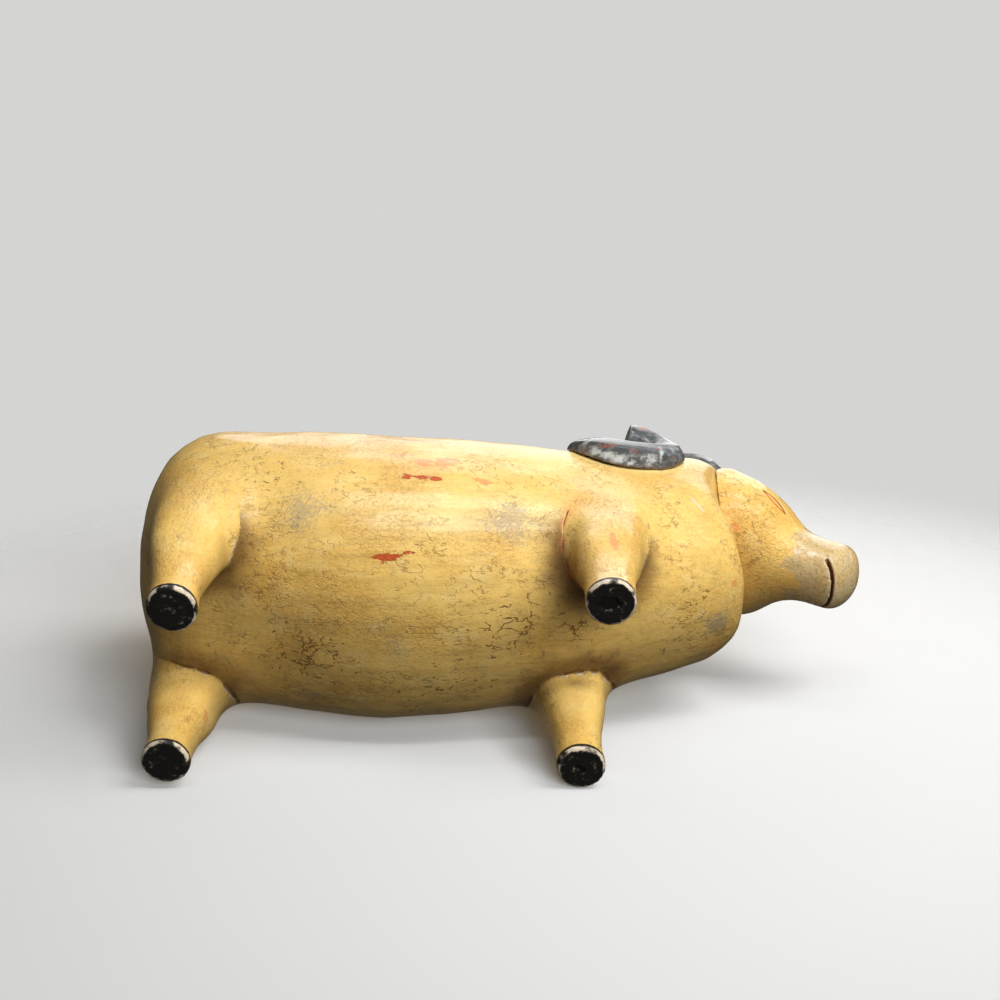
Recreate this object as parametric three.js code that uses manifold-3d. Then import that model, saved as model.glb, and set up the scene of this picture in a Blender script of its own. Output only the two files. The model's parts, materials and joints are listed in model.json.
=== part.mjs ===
// Carved and painted wooden ram that stands on four short legs.
// Millimetres, +Z up, +X towards the head, +Y towards the ram's left side.

import * as THREE from "three";
import { mergeVertices } from "three/addons/utils/BufferGeometryUtils.js";
import Module from "manifold-3d";

// Body block: the ends, then the sections from the hips to the neck
const RUMP_X = -139;
const CHEST_X = 100.5;
const RUMP_ROUND = 38;
const CHEST_ROUND = 20;
const NECK_SCOOP = 13;
const NECK_SCOOP_TURN = 200;
const RUMP_SQUARENESS = 2.7;
const CHEST_SQUARENESS = 3.2;
const HEAD_SQUARENESS = 2.3;
const BODY_SQUARENESS = 2.15;
const HIP_X = -104;
const HIP_WIDTH = 105;
const HIP_TOP = 144;
const HIP_BOTTOM = 42;
const LOIN_X = -43;
const LOIN_WIDTH = 106;
const LOIN_TOP = 142;
const LOIN_BOTTOM = 27;
const GIRTH_X = 14;
const GIRTH_WIDTH = 96;
const GIRTH_TOP = 139;
const GIRTH_BOTTOM = 33;
const SHOULDER_X = 56;
const SHOULDER_WIDTH = 83;
const SHOULDER_TOP = 138;
const SHOULDER_BOTTOM = 43;
const NECK_X = 90;
const NECK_WIDTH = 78;
const NECK_TOP = 140;
const NECK_BOTTOM = 57;

// Head block: where its axis starts inside the neck, how it hangs, its sections along the axis
const HEAD_START_X = 78;
const HEAD_START_Z = 124;
const HEAD_PITCH = 38;
const CHEEK_AT = 14;
const CHEEK_WIDTH = 61;
const CHEEK_DEPTH = 52;
const BROW_AT = 32;
const BROW_WIDTH = 54;
const BROW_DEPTH = 45;
const BRIDGE_AT = 52;
const BRIDGE_WIDTH = 28;
const BRIDGE_DEPTH = 29;
const MUZZLE_AT = 66;
const MUZZLE_WIDTH = 26;
const MUZZLE_DEPTH = 26;
const HEAD_LENGTH = 75;
const MUZZLE_ROUND = 8;
const MOUTH_KERF = 1.1;
const MOUTH_DEPTH = 9;
const MOUTH_PITCH = 68;
const MOUTH_BACK = 0.4;

// Legs: the stance, the soles and the tapering shanks
const FRONT_LEG_X = 32;
const REAR_LEG_X = -110.5;
const STANCE_STAGGER = 8;
const FRONT_TRACK = 64;
const REAR_TRACK = 59;
const SOLE_DIAMETER = 17;
const SOLE_BEVEL = 0.8;
const SHANK_HEIGHT = 17;
const SHANK_DIAMETER = 17.6;
const PAD_SQUARENESS = 2.6;
const SHANK_SQUARENESS = 2;
const ROOT_SQUARENESS = 3;
const FRONT_ROOT_HEIGHT = 50;
const FRONT_ROOT_LENGTH = 29;
const FRONT_ROOT_BREADTH = 29.5;
const FRONT_ROOT_STAGGER = 1.8;
const FRONT_PAD_TOP = 90;
const FRONT_PAD_OUT = -2.75;
const REAR_ROOT_HEIGHT = 56;
const REAR_ROOT_LENGTH = 33;
const REAR_ROOT_BREADTH = 28.5;
const REAR_ROOT_BACK = 4;
const REAR_PAD_TOP = 102;
const REAR_PAD_OUT = 4.25;

// Horns: a curl that lies on each side of the neck, fed by a limb from the crown.
// A drop counts down from the top of the neck.
const HORN_X = 51.2;
const HORN_Y = 35.8;
const HORN_DROP = 31.7;
const HORN_LEAN = 34;
const HORN_YAW = 13;
const HORN_CURL_HEIGHT = 29;
const HORN_CURL_LENGTH = 39;
const HORN_TIGHTENING = 0.4;
const HORN_CREST_X = 84;
const HORN_CREST_Y = 20;
const HORN_CREST_DROP = 2;
const HORN_ROOT_X = 99;
const HORN_ROOT_Y = 9;
const HORN_ROOT_DROP = 18;
const HORN_ROOT_WIDTH = 21;
const HORN_TIP_WIDTH = 14;
const HORN_FLATNESS = 0.85;
const HORN_SINK = 1.8;
const HORN_UNDERCUT = 0.2;
const HORN_TIP_FLARE = 4;
const HORN_FLARE_SWEEP = 9;
const HORN_TIP_LIFT = 11.8;
const HORN_LIFT_FROM = 0.42;
const HORN_LIFT_TO = 0.96;
const HORN_TURN = 374;
const HORN_LOWER_LIMB = 0.66;
const HORN_LAP = 0.05;

// Tail: a short stub high on the rump
const TAIL_LENGTH = 24;
const TAIL_WIDTH = 13;
const TAIL_THICKNESS = 8;
const TAIL_Z = 124;
const TAIL_TAPER_FROM = 0.6;
const TAIL_TIP_TURN = 75;
const TAIL_RISE_LIMIT = 0.9;

// Dowels and pegs, and the play left round every fitted piece
const LEG_DOWEL_DIAMETER = 7;
const LEG_DOWEL_TOP = 64;
const LEG_DOWEL_RECESS = 1.5;
const NECK_DOWEL_DIAMETER = 12;
const NECK_DOWEL_LENGTH = 56;
const NECK_DOWEL_Z = 106;
const HORN_PEG_DIAMETER = 5;
const HORN_PEG_LENGTH = 20;
const TAIL_PEG_DIAMETER = 4;
const TAIL_PEG_LENGTH = 18;
const FIT_CLEARANCE = 0.3;

// Facets round each kind of section, and steps along each kind of piece
const BODY_SIDES = 40;
const BODY_STEPS = 16;
const BODY_CAP_STEPS = 8;
const HEAD_SIDES = 28;
const HEAD_STEPS = 12;
const HEAD_CAP_STEPS = 6;
const LIMB_SIDES = 22;
const SHANK_STEPS = 9;
const PAD_STEPS = 7;
const HORN_SIDES = 16;
const HORN_STEPS = 34;
const CURL_STEPS = 12;
const TAIL_STEPS = 14;
const PEG_SIDES = 16;
const CAP_START = 0.35;
const MERGE_DISTANCE = 1e-4;

// Paint and wood colours
const OCHRE_PAINT = { color: 0xc79a4e, roughness: 0.45, metalness: 0 };
const HORN_PAINT = { color: 0x2b2d33, roughness: 0.35, metalness: 0 };
const BARE_WOOD = { color: 0xb98a58, roughness: 0.8, metalness: 0 };

const wasm = await Module();
wasm.setup();

const RADIANS = Math.PI / 180;

// Solid from a closed geometry, with its faces turned outwards
function solidFrom(geometry) {
  geometry.deleteAttribute("normal");
  geometry.deleteAttribute("uv");
  const merged = mergeVertices(geometry, MERGE_DISTANCE);
  const triVerts = new Uint32Array(merged.index.array);
  const vertProperties = new Float32Array(merged.attributes.position.array);
  return new wasm.Manifold(new wasm.Mesh({ numProp: 3, vertProperties, triVerts }));
}

// Named mesh from a finished solid
function meshFrom(name, solid, paint) {
  const { vertProperties, triVerts } = solid.getMesh();
  const geometry = new THREE.BufferGeometry();
  geometry.setAttribute("position", new THREE.BufferAttribute(vertProperties, 3));
  geometry.setIndex(new THREE.BufferAttribute(triVerts, 1));
  geometry.computeVertexNormals();
  const mesh = new THREE.Mesh(geometry, new THREE.MeshStandardMaterial(paint));
  mesh.name = name;
  return mesh;
}

// Six times the volume that a triangle list encloses, negative if it is inside out
function signedVolume(points, triangles) {
  const cross = new THREE.Vector3();
  let sum = 0;
  for (const [a, b, c] of triangles) {
    sum += points[a].dot(cross.crossVectors(points[b], points[c]));
  }
  return sum;
}

// Skin over rings of equal point count, closed by a fan at each end
function skin(rings) {
  const sides = rings[0].length;
  const points = rings.flat();
  const triangles = [];
  for (let i = 0; i + 1 < rings.length; i++) {
    for (let k = 0; k < sides; k++) {
      const a = i * sides + k;
      const b = i * sides + ((k + 1) % sides);
      triangles.push([a, b, b + sides], [a, b + sides, a + sides]);
    }
  }
  for (const [ring, first, flip] of [
    [rings[0], 0, true],
    [rings.at(-1), (rings.length - 1) * sides, false],
  ]) {
    const middle = ring.reduce((sum, p) => sum.add(p), new THREE.Vector3()).divideScalar(sides);
    points.push(middle);
    for (let k = 0; k < sides; k++) {
      const pair = [first + k, first + ((k + 1) % sides)];
      triangles.push([points.length - 1, ...(flip ? pair.reverse() : pair)]);
    }
  }
  if (signedVolume(points, triangles) < 0) triangles.forEach((t) => t.reverse());
  const geometry = new THREE.BufferGeometry().setFromPoints(points);
  geometry.setIndex(triangles.flat());
  return solidFrom(geometry);
}

// Ring of points: a rounded section about a centre, spanned by two half-axes
function ring(centre, across, along, sides, squareness = 2) {
  const bulge = (v) => Math.sign(v) * Math.abs(v) ** (2 / squareness);
  return Array.from({ length: sides }, (_, k) => {
    const turn = (2 * Math.PI * k) / sides;
    return centre
      .clone()
      .addScaledVector(across, bulge(Math.cos(turn)))
      .addScaledVector(along, bulge(Math.sin(turn)));
  });
}

// Smooth curve through [place, value] pairs, level beyond the first and the last
function smooth(pairs) {
  const slope = (i) => {
    const before = pairs[Math.max(i - 1, 0)];
    const after = pairs[Math.min(i + 1, pairs.length - 1)];
    return (after[1] - before[1]) / (after[0] - before[0]);
  };
  return (place) => {
    let i = 0;
    while (i < pairs.length - 2 && place > pairs[i + 1][0]) i++;
    const [x0, y0] = pairs[i];
    const [x1, y1] = pairs[i + 1];
    const run = x1 - x0;
    const u = THREE.MathUtils.clamp((place - x0) / run, 0, 1);
    const rise = u * u * (3 - 2 * u);
    const lead = slope(i) * run * u * (1 - u) ** 2;
    const trail = slope(i + 1) * run * u * u * (u - 1);
    return y0 + (y1 - y0) * rise + lead + trail;
  };
}

// Places from start to end, drawn together towards ends that are rounded off
function roundedPlaces(start, end, middleCount, endCount) {
  const cap = ({ at, round, squareness }, towards) =>
    Array.from({ length: endCount }, (_, i) => {
      const turn = ((i + CAP_START) / endCount) * (Math.PI / 2);
      const inset = 1 - Math.cos(turn) ** (2 / squareness);
      return { at: at + towards * round * inset, scale: Math.sin(turn) ** (2 / squareness) };
    });
  const middle = Array.from({ length: middleCount + 1 }, (_, i) => {
    const at = THREE.MathUtils.lerp(start.at + start.round, end.at - end.round, i / middleCount);
    return { at, scale: 1 };
  });
  return [...cap(start, 1), ...middle, ...cap(end, -1).reverse()];
}

// Round rod between two points
function rod(from, to, diameter) {
  const length = from.distanceTo(to);
  const geometry = new THREE.CylinderGeometry(diameter / 2, diameter / 2, length, PEG_SIDES);
  const direction = to.clone().sub(from).normalize();
  geometry.applyQuaternion(
    new THREE.Quaternion().setFromUnitVectors(new THREE.Vector3(0, 1, 0), direction),
  );
  geometry.translate(...from.clone().add(to).multiplyScalar(0.5).toArray());
  return solidFrom(geometry);
}

// Rod lengthened and fattened by the fitting clearance, for the hole that takes it
function boreFor({ from, to, diameter }) {
  const reach = to.clone().sub(from).setLength(FIT_CLEARANCE);
  const start = from.clone().sub(reach);
  const end = to.clone().add(reach);
  return rod(start, end, diameter + 2 * FIT_CLEARANCE);
}

const bodySections = [
  { x: HIP_X, width: HIP_WIDTH, top: HIP_TOP, bottom: HIP_BOTTOM },
  { x: LOIN_X, width: LOIN_WIDTH, top: LOIN_TOP, bottom: LOIN_BOTTOM },
  { x: GIRTH_X, width: GIRTH_WIDTH, top: GIRTH_TOP, bottom: GIRTH_BOTTOM },
  { x: SHOULDER_X, width: SHOULDER_WIDTH, top: SHOULDER_TOP, bottom: SHOULDER_BOTTOM },
  { x: NECK_X, width: NECK_WIDTH, top: NECK_TOP, bottom: NECK_BOTTOM },
];
const bodyWidth = smooth(bodySections.map((s) => [s.x, s.width]));
const bodyTop = smooth(bodySections.map((s) => [s.x, s.top]));
const bodyBottom = smooth(bodySections.map((s) => [s.x, s.bottom]));

// How far the front of the neck is scooped out behind the head, at a place and a height
function neckScoop(at, height) {
  const share = THREE.MathUtils.smoothstep(at, SHOULDER_X, CHEST_X - CHEST_ROUND);
  const rise = THREE.MathUtils.clamp((height - NECK_BOTTOM) / (NECK_TOP - NECK_BOTTOM), 0, 1);
  return NECK_SCOOP * share * Math.sin(NECK_SCOOP_TURN * RADIANS * rise);
}

// Barrel of the body with its neck, grown all round by a clearance
function bodyBlock(grow) {
  const rump = { at: RUMP_X - grow, round: RUMP_ROUND, squareness: RUMP_SQUARENESS };
  const chest = { at: CHEST_X + grow, round: CHEST_ROUND, squareness: CHEST_SQUARENESS };
  return skin(
    roundedPlaces(rump, chest, BODY_STEPS, BODY_CAP_STEPS).map(({ at, scale }) => {
      const top = bodyTop(at);
      const bottom = bodyBottom(at);
      const centre = new THREE.Vector3(at, 0, (top + bottom) / 2);
      const across = new THREE.Vector3(0, (bodyWidth(at) / 2) * scale + grow, 0);
      const along = new THREE.Vector3(0, 0, ((top - bottom) / 2) * scale + grow);
      const points = ring(centre, across, along, BODY_SIDES, BODY_SQUARENESS);
      points.forEach((p) => (p.x -= neckScoop(at, p.z)));
      return points;
    }),
  );
}

const headPitch = HEAD_PITCH * RADIANS;
const headAxis = new THREE.Vector3(Math.cos(headPitch), 0, -Math.sin(headPitch));
const headRise = new THREE.Vector3(-headAxis.z, 0, headAxis.x);
const headStart = new THREE.Vector3(HEAD_START_X, 0, HEAD_START_Z);
const headSections = [
  { at: CHEEK_AT, width: CHEEK_WIDTH, depth: CHEEK_DEPTH },
  { at: BROW_AT, width: BROW_WIDTH, depth: BROW_DEPTH },
  { at: BRIDGE_AT, width: BRIDGE_WIDTH, depth: BRIDGE_DEPTH },
  { at: MUZZLE_AT, width: MUZZLE_WIDTH, depth: MUZZLE_DEPTH },
];
const headWidth = smooth(headSections.map((s) => [s.at, s.width]));
const headDepth = smooth(headSections.map((s) => [s.at, s.depth]));

// Head block from inside the neck to the muzzle, grown all round by a clearance
function headBlock(grow) {
  const back = { at: -grow, round: CHEEK_AT, squareness: HEAD_SQUARENESS };
  const muzzle = { at: HEAD_LENGTH + grow, round: MUZZLE_ROUND, squareness: HEAD_SQUARENESS };
  const places = roundedPlaces(back, muzzle, HEAD_STEPS, HEAD_CAP_STEPS);
  return skin(
    places.map(({ at, scale }) => {
      const centre = headStart.clone().addScaledVector(headAxis, at);
      const across = new THREE.Vector3(0, (headWidth(at) / 2) * scale + grow, 0);
      const along = headRise.clone().multiplyScalar((headDepth(at) / 2) * scale + grow);
      return ring(centre, across, along, HEAD_SIDES, BODY_SQUARENESS);
    }),
  );
}

// Saw kerf across the underside of the muzzle
function mouthKerf() {
  const kerf = new THREE.BoxGeometry(2 * MOUTH_DEPTH, 2 * MUZZLE_WIDTH, MOUTH_KERF);
  kerf.rotateY(MOUTH_PITCH * RADIANS);
  const middle = headStart
    .clone()
    .addScaledVector(headAxis, HEAD_LENGTH - MOUTH_BACK)
    .addScaledVector(headRise, -MUZZLE_DEPTH / 2);
  kerf.translate(...middle.toArray());
  return solidFrom(kerf);
}

// The four legs: which end they carry and which side they are on
const legs = [
  { name: "front_right", front: true, side: -1 },
  { name: "front_left", front: true, side: 1 },
  { name: "rear_right", front: false, side: -1 },
  { name: "rear_left", front: false, side: 1 },
].map((leg) => {
  const x = (leg.front ? FRONT_LEG_X : REAR_LEG_X) - (leg.side * STANCE_STAGGER) / 2;
  const y = (leg.side * (leg.front ? FRONT_TRACK : REAR_TRACK)) / 2;
  return { ...leg, sole: new THREE.Vector3(x, y, 0) };
});

// Leg blank: flat sole, tapering shank, and a shoulder or haunch pad that rises into the flank
function legBlank({ front, side, sole }) {
  const rootHeight = front ? FRONT_ROOT_HEIGHT : REAR_ROOT_HEIGHT;
  const rootLength = front ? FRONT_ROOT_LENGTH : REAR_ROOT_LENGTH;
  const rootBreadth = front ? FRONT_ROOT_BREADTH : REAR_ROOT_BREADTH;
  const rootBack = front ? side * FRONT_ROOT_STAGGER : REAR_ROOT_BACK;
  const padTop = front ? FRONT_PAD_TOP : REAR_PAD_TOP;
  const padOut = front ? FRONT_PAD_OUT : REAR_PAD_OUT;
  const soleFlat = SOLE_DIAMETER / 2 - SOLE_BEVEL;
  const length = smooth([
    [SOLE_BEVEL, SOLE_DIAMETER],
    [SHANK_HEIGHT, SHANK_DIAMETER],
    [rootHeight, rootLength],
    [padTop, rootLength],
  ]);
  const breadth = smooth([
    [SOLE_BEVEL, SOLE_DIAMETER],
    [SHANK_HEIGHT, SHANK_DIAMETER],
    [rootHeight, rootBreadth],
    [padTop, rootBreadth],
  ]);
  const lean = smooth([
    [0, 0],
    [rootHeight, 1],
    [padTop, 1],
  ]);
  const soleAcross = new THREE.Vector3(soleFlat, 0, 0);
  const soleAlong = new THREE.Vector3(0, soleFlat, 0);
  const rings = [ring(sole, soleAcross, soleAlong, LIMB_SIDES)];
  const bottom = { at: SOLE_BEVEL, round: 0, squareness: 2 };
  const top = { at: padTop, round: padTop - rootHeight, squareness: PAD_SQUARENESS };
  const places = roundedPlaces(bottom, top, SHANK_STEPS, PAD_STEPS).slice(PAD_STEPS);
  for (const { at, scale } of places) {
    const centre = sole.clone();
    centre.z = at;
    centre.x -= rootBack * lean(at);
    centre.y += side * padOut * lean(at);
    const across = new THREE.Vector3((length(at) / 2) * scale, 0, 0);
    const along = new THREE.Vector3(0, (breadth(at) / 2) * scale, 0);
    const squareness = THREE.MathUtils.lerp(SHANK_SQUARENESS, ROOT_SQUARENESS, lean(at));
    rings.push(ring(centre, across, along, LIMB_SIDES, squareness));
  }
  return skin(rings);
}

// Dowel driven up through a sole into the body
function legDowel({ sole }) {
  const from = sole.clone().setZ(LEG_DOWEL_RECESS);
  const to = sole.clone().setZ(LEG_DOWEL_TOP);
  return { from, to, diameter: LEG_DOWEL_DIAMETER };
}

// Frame of a horn: forward, up along the side of the neck, and out of it
function hornFrame(side) {
  const lean = HORN_LEAN * RADIANS;
  const upward = new THREE.Vector3(0, -side * Math.sin(lean), Math.cos(lean));
  const outward = new THREE.Vector3(0, side * Math.cos(lean), Math.sin(lean));
  const yaw = -side * HORN_YAW * RADIANS;
  return {
    middle: new THREE.Vector3(HORN_X, side * HORN_Y, NECK_TOP - HORN_DROP),
    forward: new THREE.Vector3(1, 0, 0).applyAxisAngle(upward, yaw),
    upward,
    outward: outward.applyAxisAngle(upward, yaw),
  };
}

// Point of the horn's curl at a share of its turn, from the top of the curl to the tip
function curlPoint(side, share) {
  const { middle, forward, upward, outward } = hornFrame(side);
  const tighten = 1 - HORN_TIGHTENING * share;
  const angle = (90 + HORN_TURN * share) * RADIANS;
  const lift = HORN_TIP_LIFT * THREE.MathUtils.smoothstep(share, HORN_LIFT_FROM, HORN_LIFT_TO);
  return middle
    .clone()
    .addScaledVector(forward, (HORN_CURL_LENGTH / 2) * tighten * Math.cos(angle))
    .addScaledVector(upward, (HORN_CURL_HEIGHT / 2) * tighten * Math.sin(angle))
    .addScaledVector(outward, lift);
}

// Middle line of a horn: out of the crown, over the neck, then round the curl
function hornLine(side) {
  const root = new THREE.Vector3(HORN_ROOT_X, side * HORN_ROOT_Y, NECK_TOP - HORN_ROOT_DROP);
  const crest = new THREE.Vector3(HORN_CREST_X, side * HORN_CREST_Y, NECK_TOP - HORN_CREST_DROP);
  const curl = Array.from({ length: CURL_STEPS + 1 }, (_, i) => curlPoint(side, i / CURL_STEPS));
  return new THREE.CatmullRomCurve3([root, crest, ...curl]);
}

// Ring of a horn: an arched outer half, and sides that sink into the neck
function hornRing(centre, across, along, sides) {
  return Array.from({ length: sides }, (_, k) => {
    const turn = (2 * Math.PI * k) / sides;
    const rise = Math.sin(turn);
    const wall = Math.sign(Math.cos(turn)) * (1 + HORN_UNDERCUT * rise);
    const reach = rise < 0 ? wall : Math.cos(turn);
    const depth = rise < 0 ? rise * HORN_SINK : rise;
    return centre.clone().addScaledVector(across, reach).addScaledVector(along, depth);
  });
}

// One stretch of a horn between two shares of its length, swept with a tapering section
function hornStretch(side, fromShare, toShare) {
  const { outward } = hornFrame(side);
  const line = hornLine(side);
  const steps = Math.ceil((toShare - fromShare) * HORN_STEPS);
  const rings = Array.from({ length: steps + 1 }, (_, i) => {
    const share = THREE.MathUtils.lerp(fromShare, toShare, i / steps);
    const flare = HORN_TIP_FLARE * share ** HORN_FLARE_SWEEP;
    const half = (THREE.MathUtils.lerp(HORN_ROOT_WIDTH, HORN_TIP_WIDTH, share) + flare) / 2;
    const tangent = line.getTangentAt(share);
    const across = tangent.clone().cross(outward).setLength(half);
    const along = across.clone().cross(tangent).setLength(half * HORN_FLATNESS);
    return hornRing(line.getPointAt(share), across, along, HORN_SIDES);
  });
  return skin(rings);
}

// Whole horn before it is fitted to the neck and the head; its two stretches lap at the lower limb
function hornBlank(side) {
  const first = hornStretch(side, 0, HORN_LOWER_LIMB + HORN_LAP);
  const second = hornStretch(side, HORN_LOWER_LIMB - HORN_LAP, 1);
  return first.add(second);
}

// Peg from the middle of the horn's lower limb into the neck
function hornPeg(side) {
  const { outward } = hornFrame(side);
  const from = hornLine(side).getPointAt(HORN_LOWER_LIMB);
  const to = from.clone().addScaledVector(outward, -HORN_PEG_LENGTH);
  return { from, to, diameter: HORN_PEG_DIAMETER };
}

// Dowel that joins the head to the neck
function neckDowel() {
  const from = new THREE.Vector3(CHEST_X - NECK_DOWEL_LENGTH / 2, 0, NECK_DOWEL_Z);
  const to = from.clone().setX(CHEST_X + NECK_DOWEL_LENGTH / 2 - CHEST_ROUND);
  return { from, to, diameter: NECK_DOWEL_DIAMETER };
}

// Root of the tail on the middle of the rump
function tailRoot() {
  const middle = (bodyTop(RUMP_X) + bodyBottom(RUMP_X)) / 2;
  const reach = (bodyTop(RUMP_X) - bodyBottom(RUMP_X)) / 2;
  const rise = Math.min(Math.abs(TAIL_Z - middle) / reach, TAIL_RISE_LIMIT);
  const bulge = (1 - rise ** RUMP_SQUARENESS) ** (1 / RUMP_SQUARENESS);
  return new THREE.Vector3(RUMP_X + RUMP_ROUND * (1 - bulge), 0, TAIL_Z);
}

// Tail stub, hanging down close to the rump
function tailBlank() {
  const root = tailRoot();
  const curve = new THREE.CatmullRomCurve3([
    root.clone().add(new THREE.Vector3(TAIL_THICKNESS, 0, TAIL_THICKNESS / 4)),
    root.clone().add(new THREE.Vector3(-TAIL_THICKNESS / 4, 0, 0)),
    root.clone().add(new THREE.Vector3(-TAIL_LENGTH / 4, 0, -TAIL_LENGTH / 2)),
    root.clone().add(new THREE.Vector3(-TAIL_LENGTH / 4, 0, -TAIL_LENGTH)),
  ]);
  const sideways = new THREE.Vector3(0, 1, 0);
  const rings = Array.from({ length: TAIL_STEPS + 1 }, (_, i) => {
    const share = i / TAIL_STEPS;
    const taper = Math.max(0, (share - TAIL_TAPER_FROM) / (1 - TAIL_TAPER_FROM));
    const round = Math.cos(taper * TAIL_TIP_TURN * RADIANS);
    const across = sideways.clone().multiplyScalar((TAIL_WIDTH / 2) * round);
    const along = curve.getTangent(share).cross(sideways).setLength((TAIL_THICKNESS / 2) * round);
    return ring(curve.getPoint(share), across, along, HORN_SIDES);
  });
  return skin(rings);
}

// Peg that holds the tail
function tailPeg() {
  const from = tailRoot().add(new THREE.Vector3(-TAIL_THICKNESS / 4, 0, 0));
  const to = from.clone().add(new THREE.Vector3(TAIL_PEG_LENGTH, 0, 0));
  return { from, to, diameter: TAIL_PEG_DIAMETER };
}

// Every dowel and peg by name
const sides = [
  ["right", -1],
  ["left", 1],
];
const pins = {};
for (const leg of legs) pins[`${leg.name}_leg_dowel`] = legDowel(leg);
for (const [word, side] of sides) pins[`${word}_horn_peg`] = hornPeg(side);
pins.neck_dowel = neckDowel();
pins.tail_peg = tailPeg();
const bore = (name) => boreFor(pins[name]);

// Body with its dowel holes
let torso = bodyBlock(0);
for (const name of Object.keys(pins)) torso = torso.subtract(bore(name));

// Head, hollowed at the back to sit on the front of the neck
const bodyRoom = bodyBlock(FIT_CLEARANCE);
const head = headBlock(0).subtract(bodyRoom).subtract(mouthKerf()).subtract(bore("neck_dowel"));
const headRoom = headBlock(FIT_CLEARANCE);

const ram = new THREE.Group();
ram.add(meshFrom("torso", torso, OCHRE_PAINT));
ram.add(meshFrom("head", head, OCHRE_PAINT));

for (const leg of legs) {
  const fitted = legBlank(leg).subtract(bodyRoom);
  ram.add(meshFrom(`${leg.name}_leg`, fitted.subtract(bore(`${leg.name}_leg_dowel`)), OCHRE_PAINT));
}

for (const [word, side] of sides) {
  const fitted = hornBlank(side).subtract(bodyRoom).subtract(headRoom);
  ram.add(meshFrom(`${word}_horn`, fitted.subtract(bore(`${word}_horn_peg`)), HORN_PAINT));
}

const tail = tailBlank().subtract(bodyRoom).subtract(bore("tail_peg"));
ram.add(meshFrom("tail", tail, OCHRE_PAINT));

for (const [name, pin] of Object.entries(pins)) {
  ram.add(meshFrom(name, rod(pin.from, pin.to, pin.diameter), BARE_WOOD));
}

// The origin lies under the middle of the ram, on the surface it stands on
const box = new THREE.Box3().setFromObject(ram);
ram.position.set(-(box.min.x + box.max.x) / 2, -(box.min.y + box.max.y) / 2, -box.min.z);

export default ram;
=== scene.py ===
"""Wooden ram figurine: carved forms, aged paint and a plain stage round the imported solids."""

import json
import math

import bmesh
import bpy
import numpy as np
from bpy.props import FloatProperty, FloatVectorProperty, IntProperty, PointerProperty
from mathutils import Matrix, Vector
from mathutils.bvhtree import BVHTree

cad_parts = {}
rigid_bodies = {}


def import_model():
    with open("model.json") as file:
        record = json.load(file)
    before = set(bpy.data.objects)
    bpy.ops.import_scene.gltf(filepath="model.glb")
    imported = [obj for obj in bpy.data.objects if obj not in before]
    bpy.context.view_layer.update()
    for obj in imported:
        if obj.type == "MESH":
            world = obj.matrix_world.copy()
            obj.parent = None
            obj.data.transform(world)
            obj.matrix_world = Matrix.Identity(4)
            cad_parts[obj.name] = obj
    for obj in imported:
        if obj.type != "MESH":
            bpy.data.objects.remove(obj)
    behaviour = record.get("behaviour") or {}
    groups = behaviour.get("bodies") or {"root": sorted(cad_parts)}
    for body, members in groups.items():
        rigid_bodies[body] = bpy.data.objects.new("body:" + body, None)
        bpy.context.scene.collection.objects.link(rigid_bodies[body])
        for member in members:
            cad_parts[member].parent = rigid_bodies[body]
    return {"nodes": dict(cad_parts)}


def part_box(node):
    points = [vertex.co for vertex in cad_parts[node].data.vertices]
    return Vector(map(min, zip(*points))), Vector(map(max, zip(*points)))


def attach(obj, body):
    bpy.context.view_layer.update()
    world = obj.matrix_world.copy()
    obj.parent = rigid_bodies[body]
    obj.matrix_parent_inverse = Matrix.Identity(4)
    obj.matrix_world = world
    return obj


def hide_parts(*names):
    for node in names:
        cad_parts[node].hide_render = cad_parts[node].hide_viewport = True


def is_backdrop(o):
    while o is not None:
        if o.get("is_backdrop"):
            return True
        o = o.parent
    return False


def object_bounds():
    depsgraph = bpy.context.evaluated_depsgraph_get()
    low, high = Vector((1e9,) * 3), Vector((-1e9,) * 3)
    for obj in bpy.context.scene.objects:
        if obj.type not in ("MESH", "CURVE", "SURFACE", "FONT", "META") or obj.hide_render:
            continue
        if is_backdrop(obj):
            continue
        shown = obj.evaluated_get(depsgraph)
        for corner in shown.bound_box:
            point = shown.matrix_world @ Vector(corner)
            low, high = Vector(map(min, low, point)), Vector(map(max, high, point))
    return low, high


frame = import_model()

bl_info = {
    "name": "Wooden ram figurine",
    "version": (1, 0, 0),
    "blender": (4, 5, 0),
    "location": "View3D > Sidebar > Ram",
    "description": "Carves and paints a wooden ram round its packed solids",
    "category": "Add Mesh",
}

CAD_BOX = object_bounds()
BODY = "root"
MM = 0.001
LEGS = ("front_right", "front_left", "rear_right", "rear_left")
LEG_NODES = tuple(f"{leg}_leg" for leg in LEGS)
LEG_DOWELS = tuple(f"{leg}_leg_dowel" for leg in LEGS)
SIDES = (("right", -1), ("left", 1))
PINS = (*LEG_DOWELS, "right_horn_peg", "left_horn_peg", "neck_dowel", "tail_peg")

# The picture's width in pixels and the width of film that the lens is given for
PICTURE = 1000
FILM = 36

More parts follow.
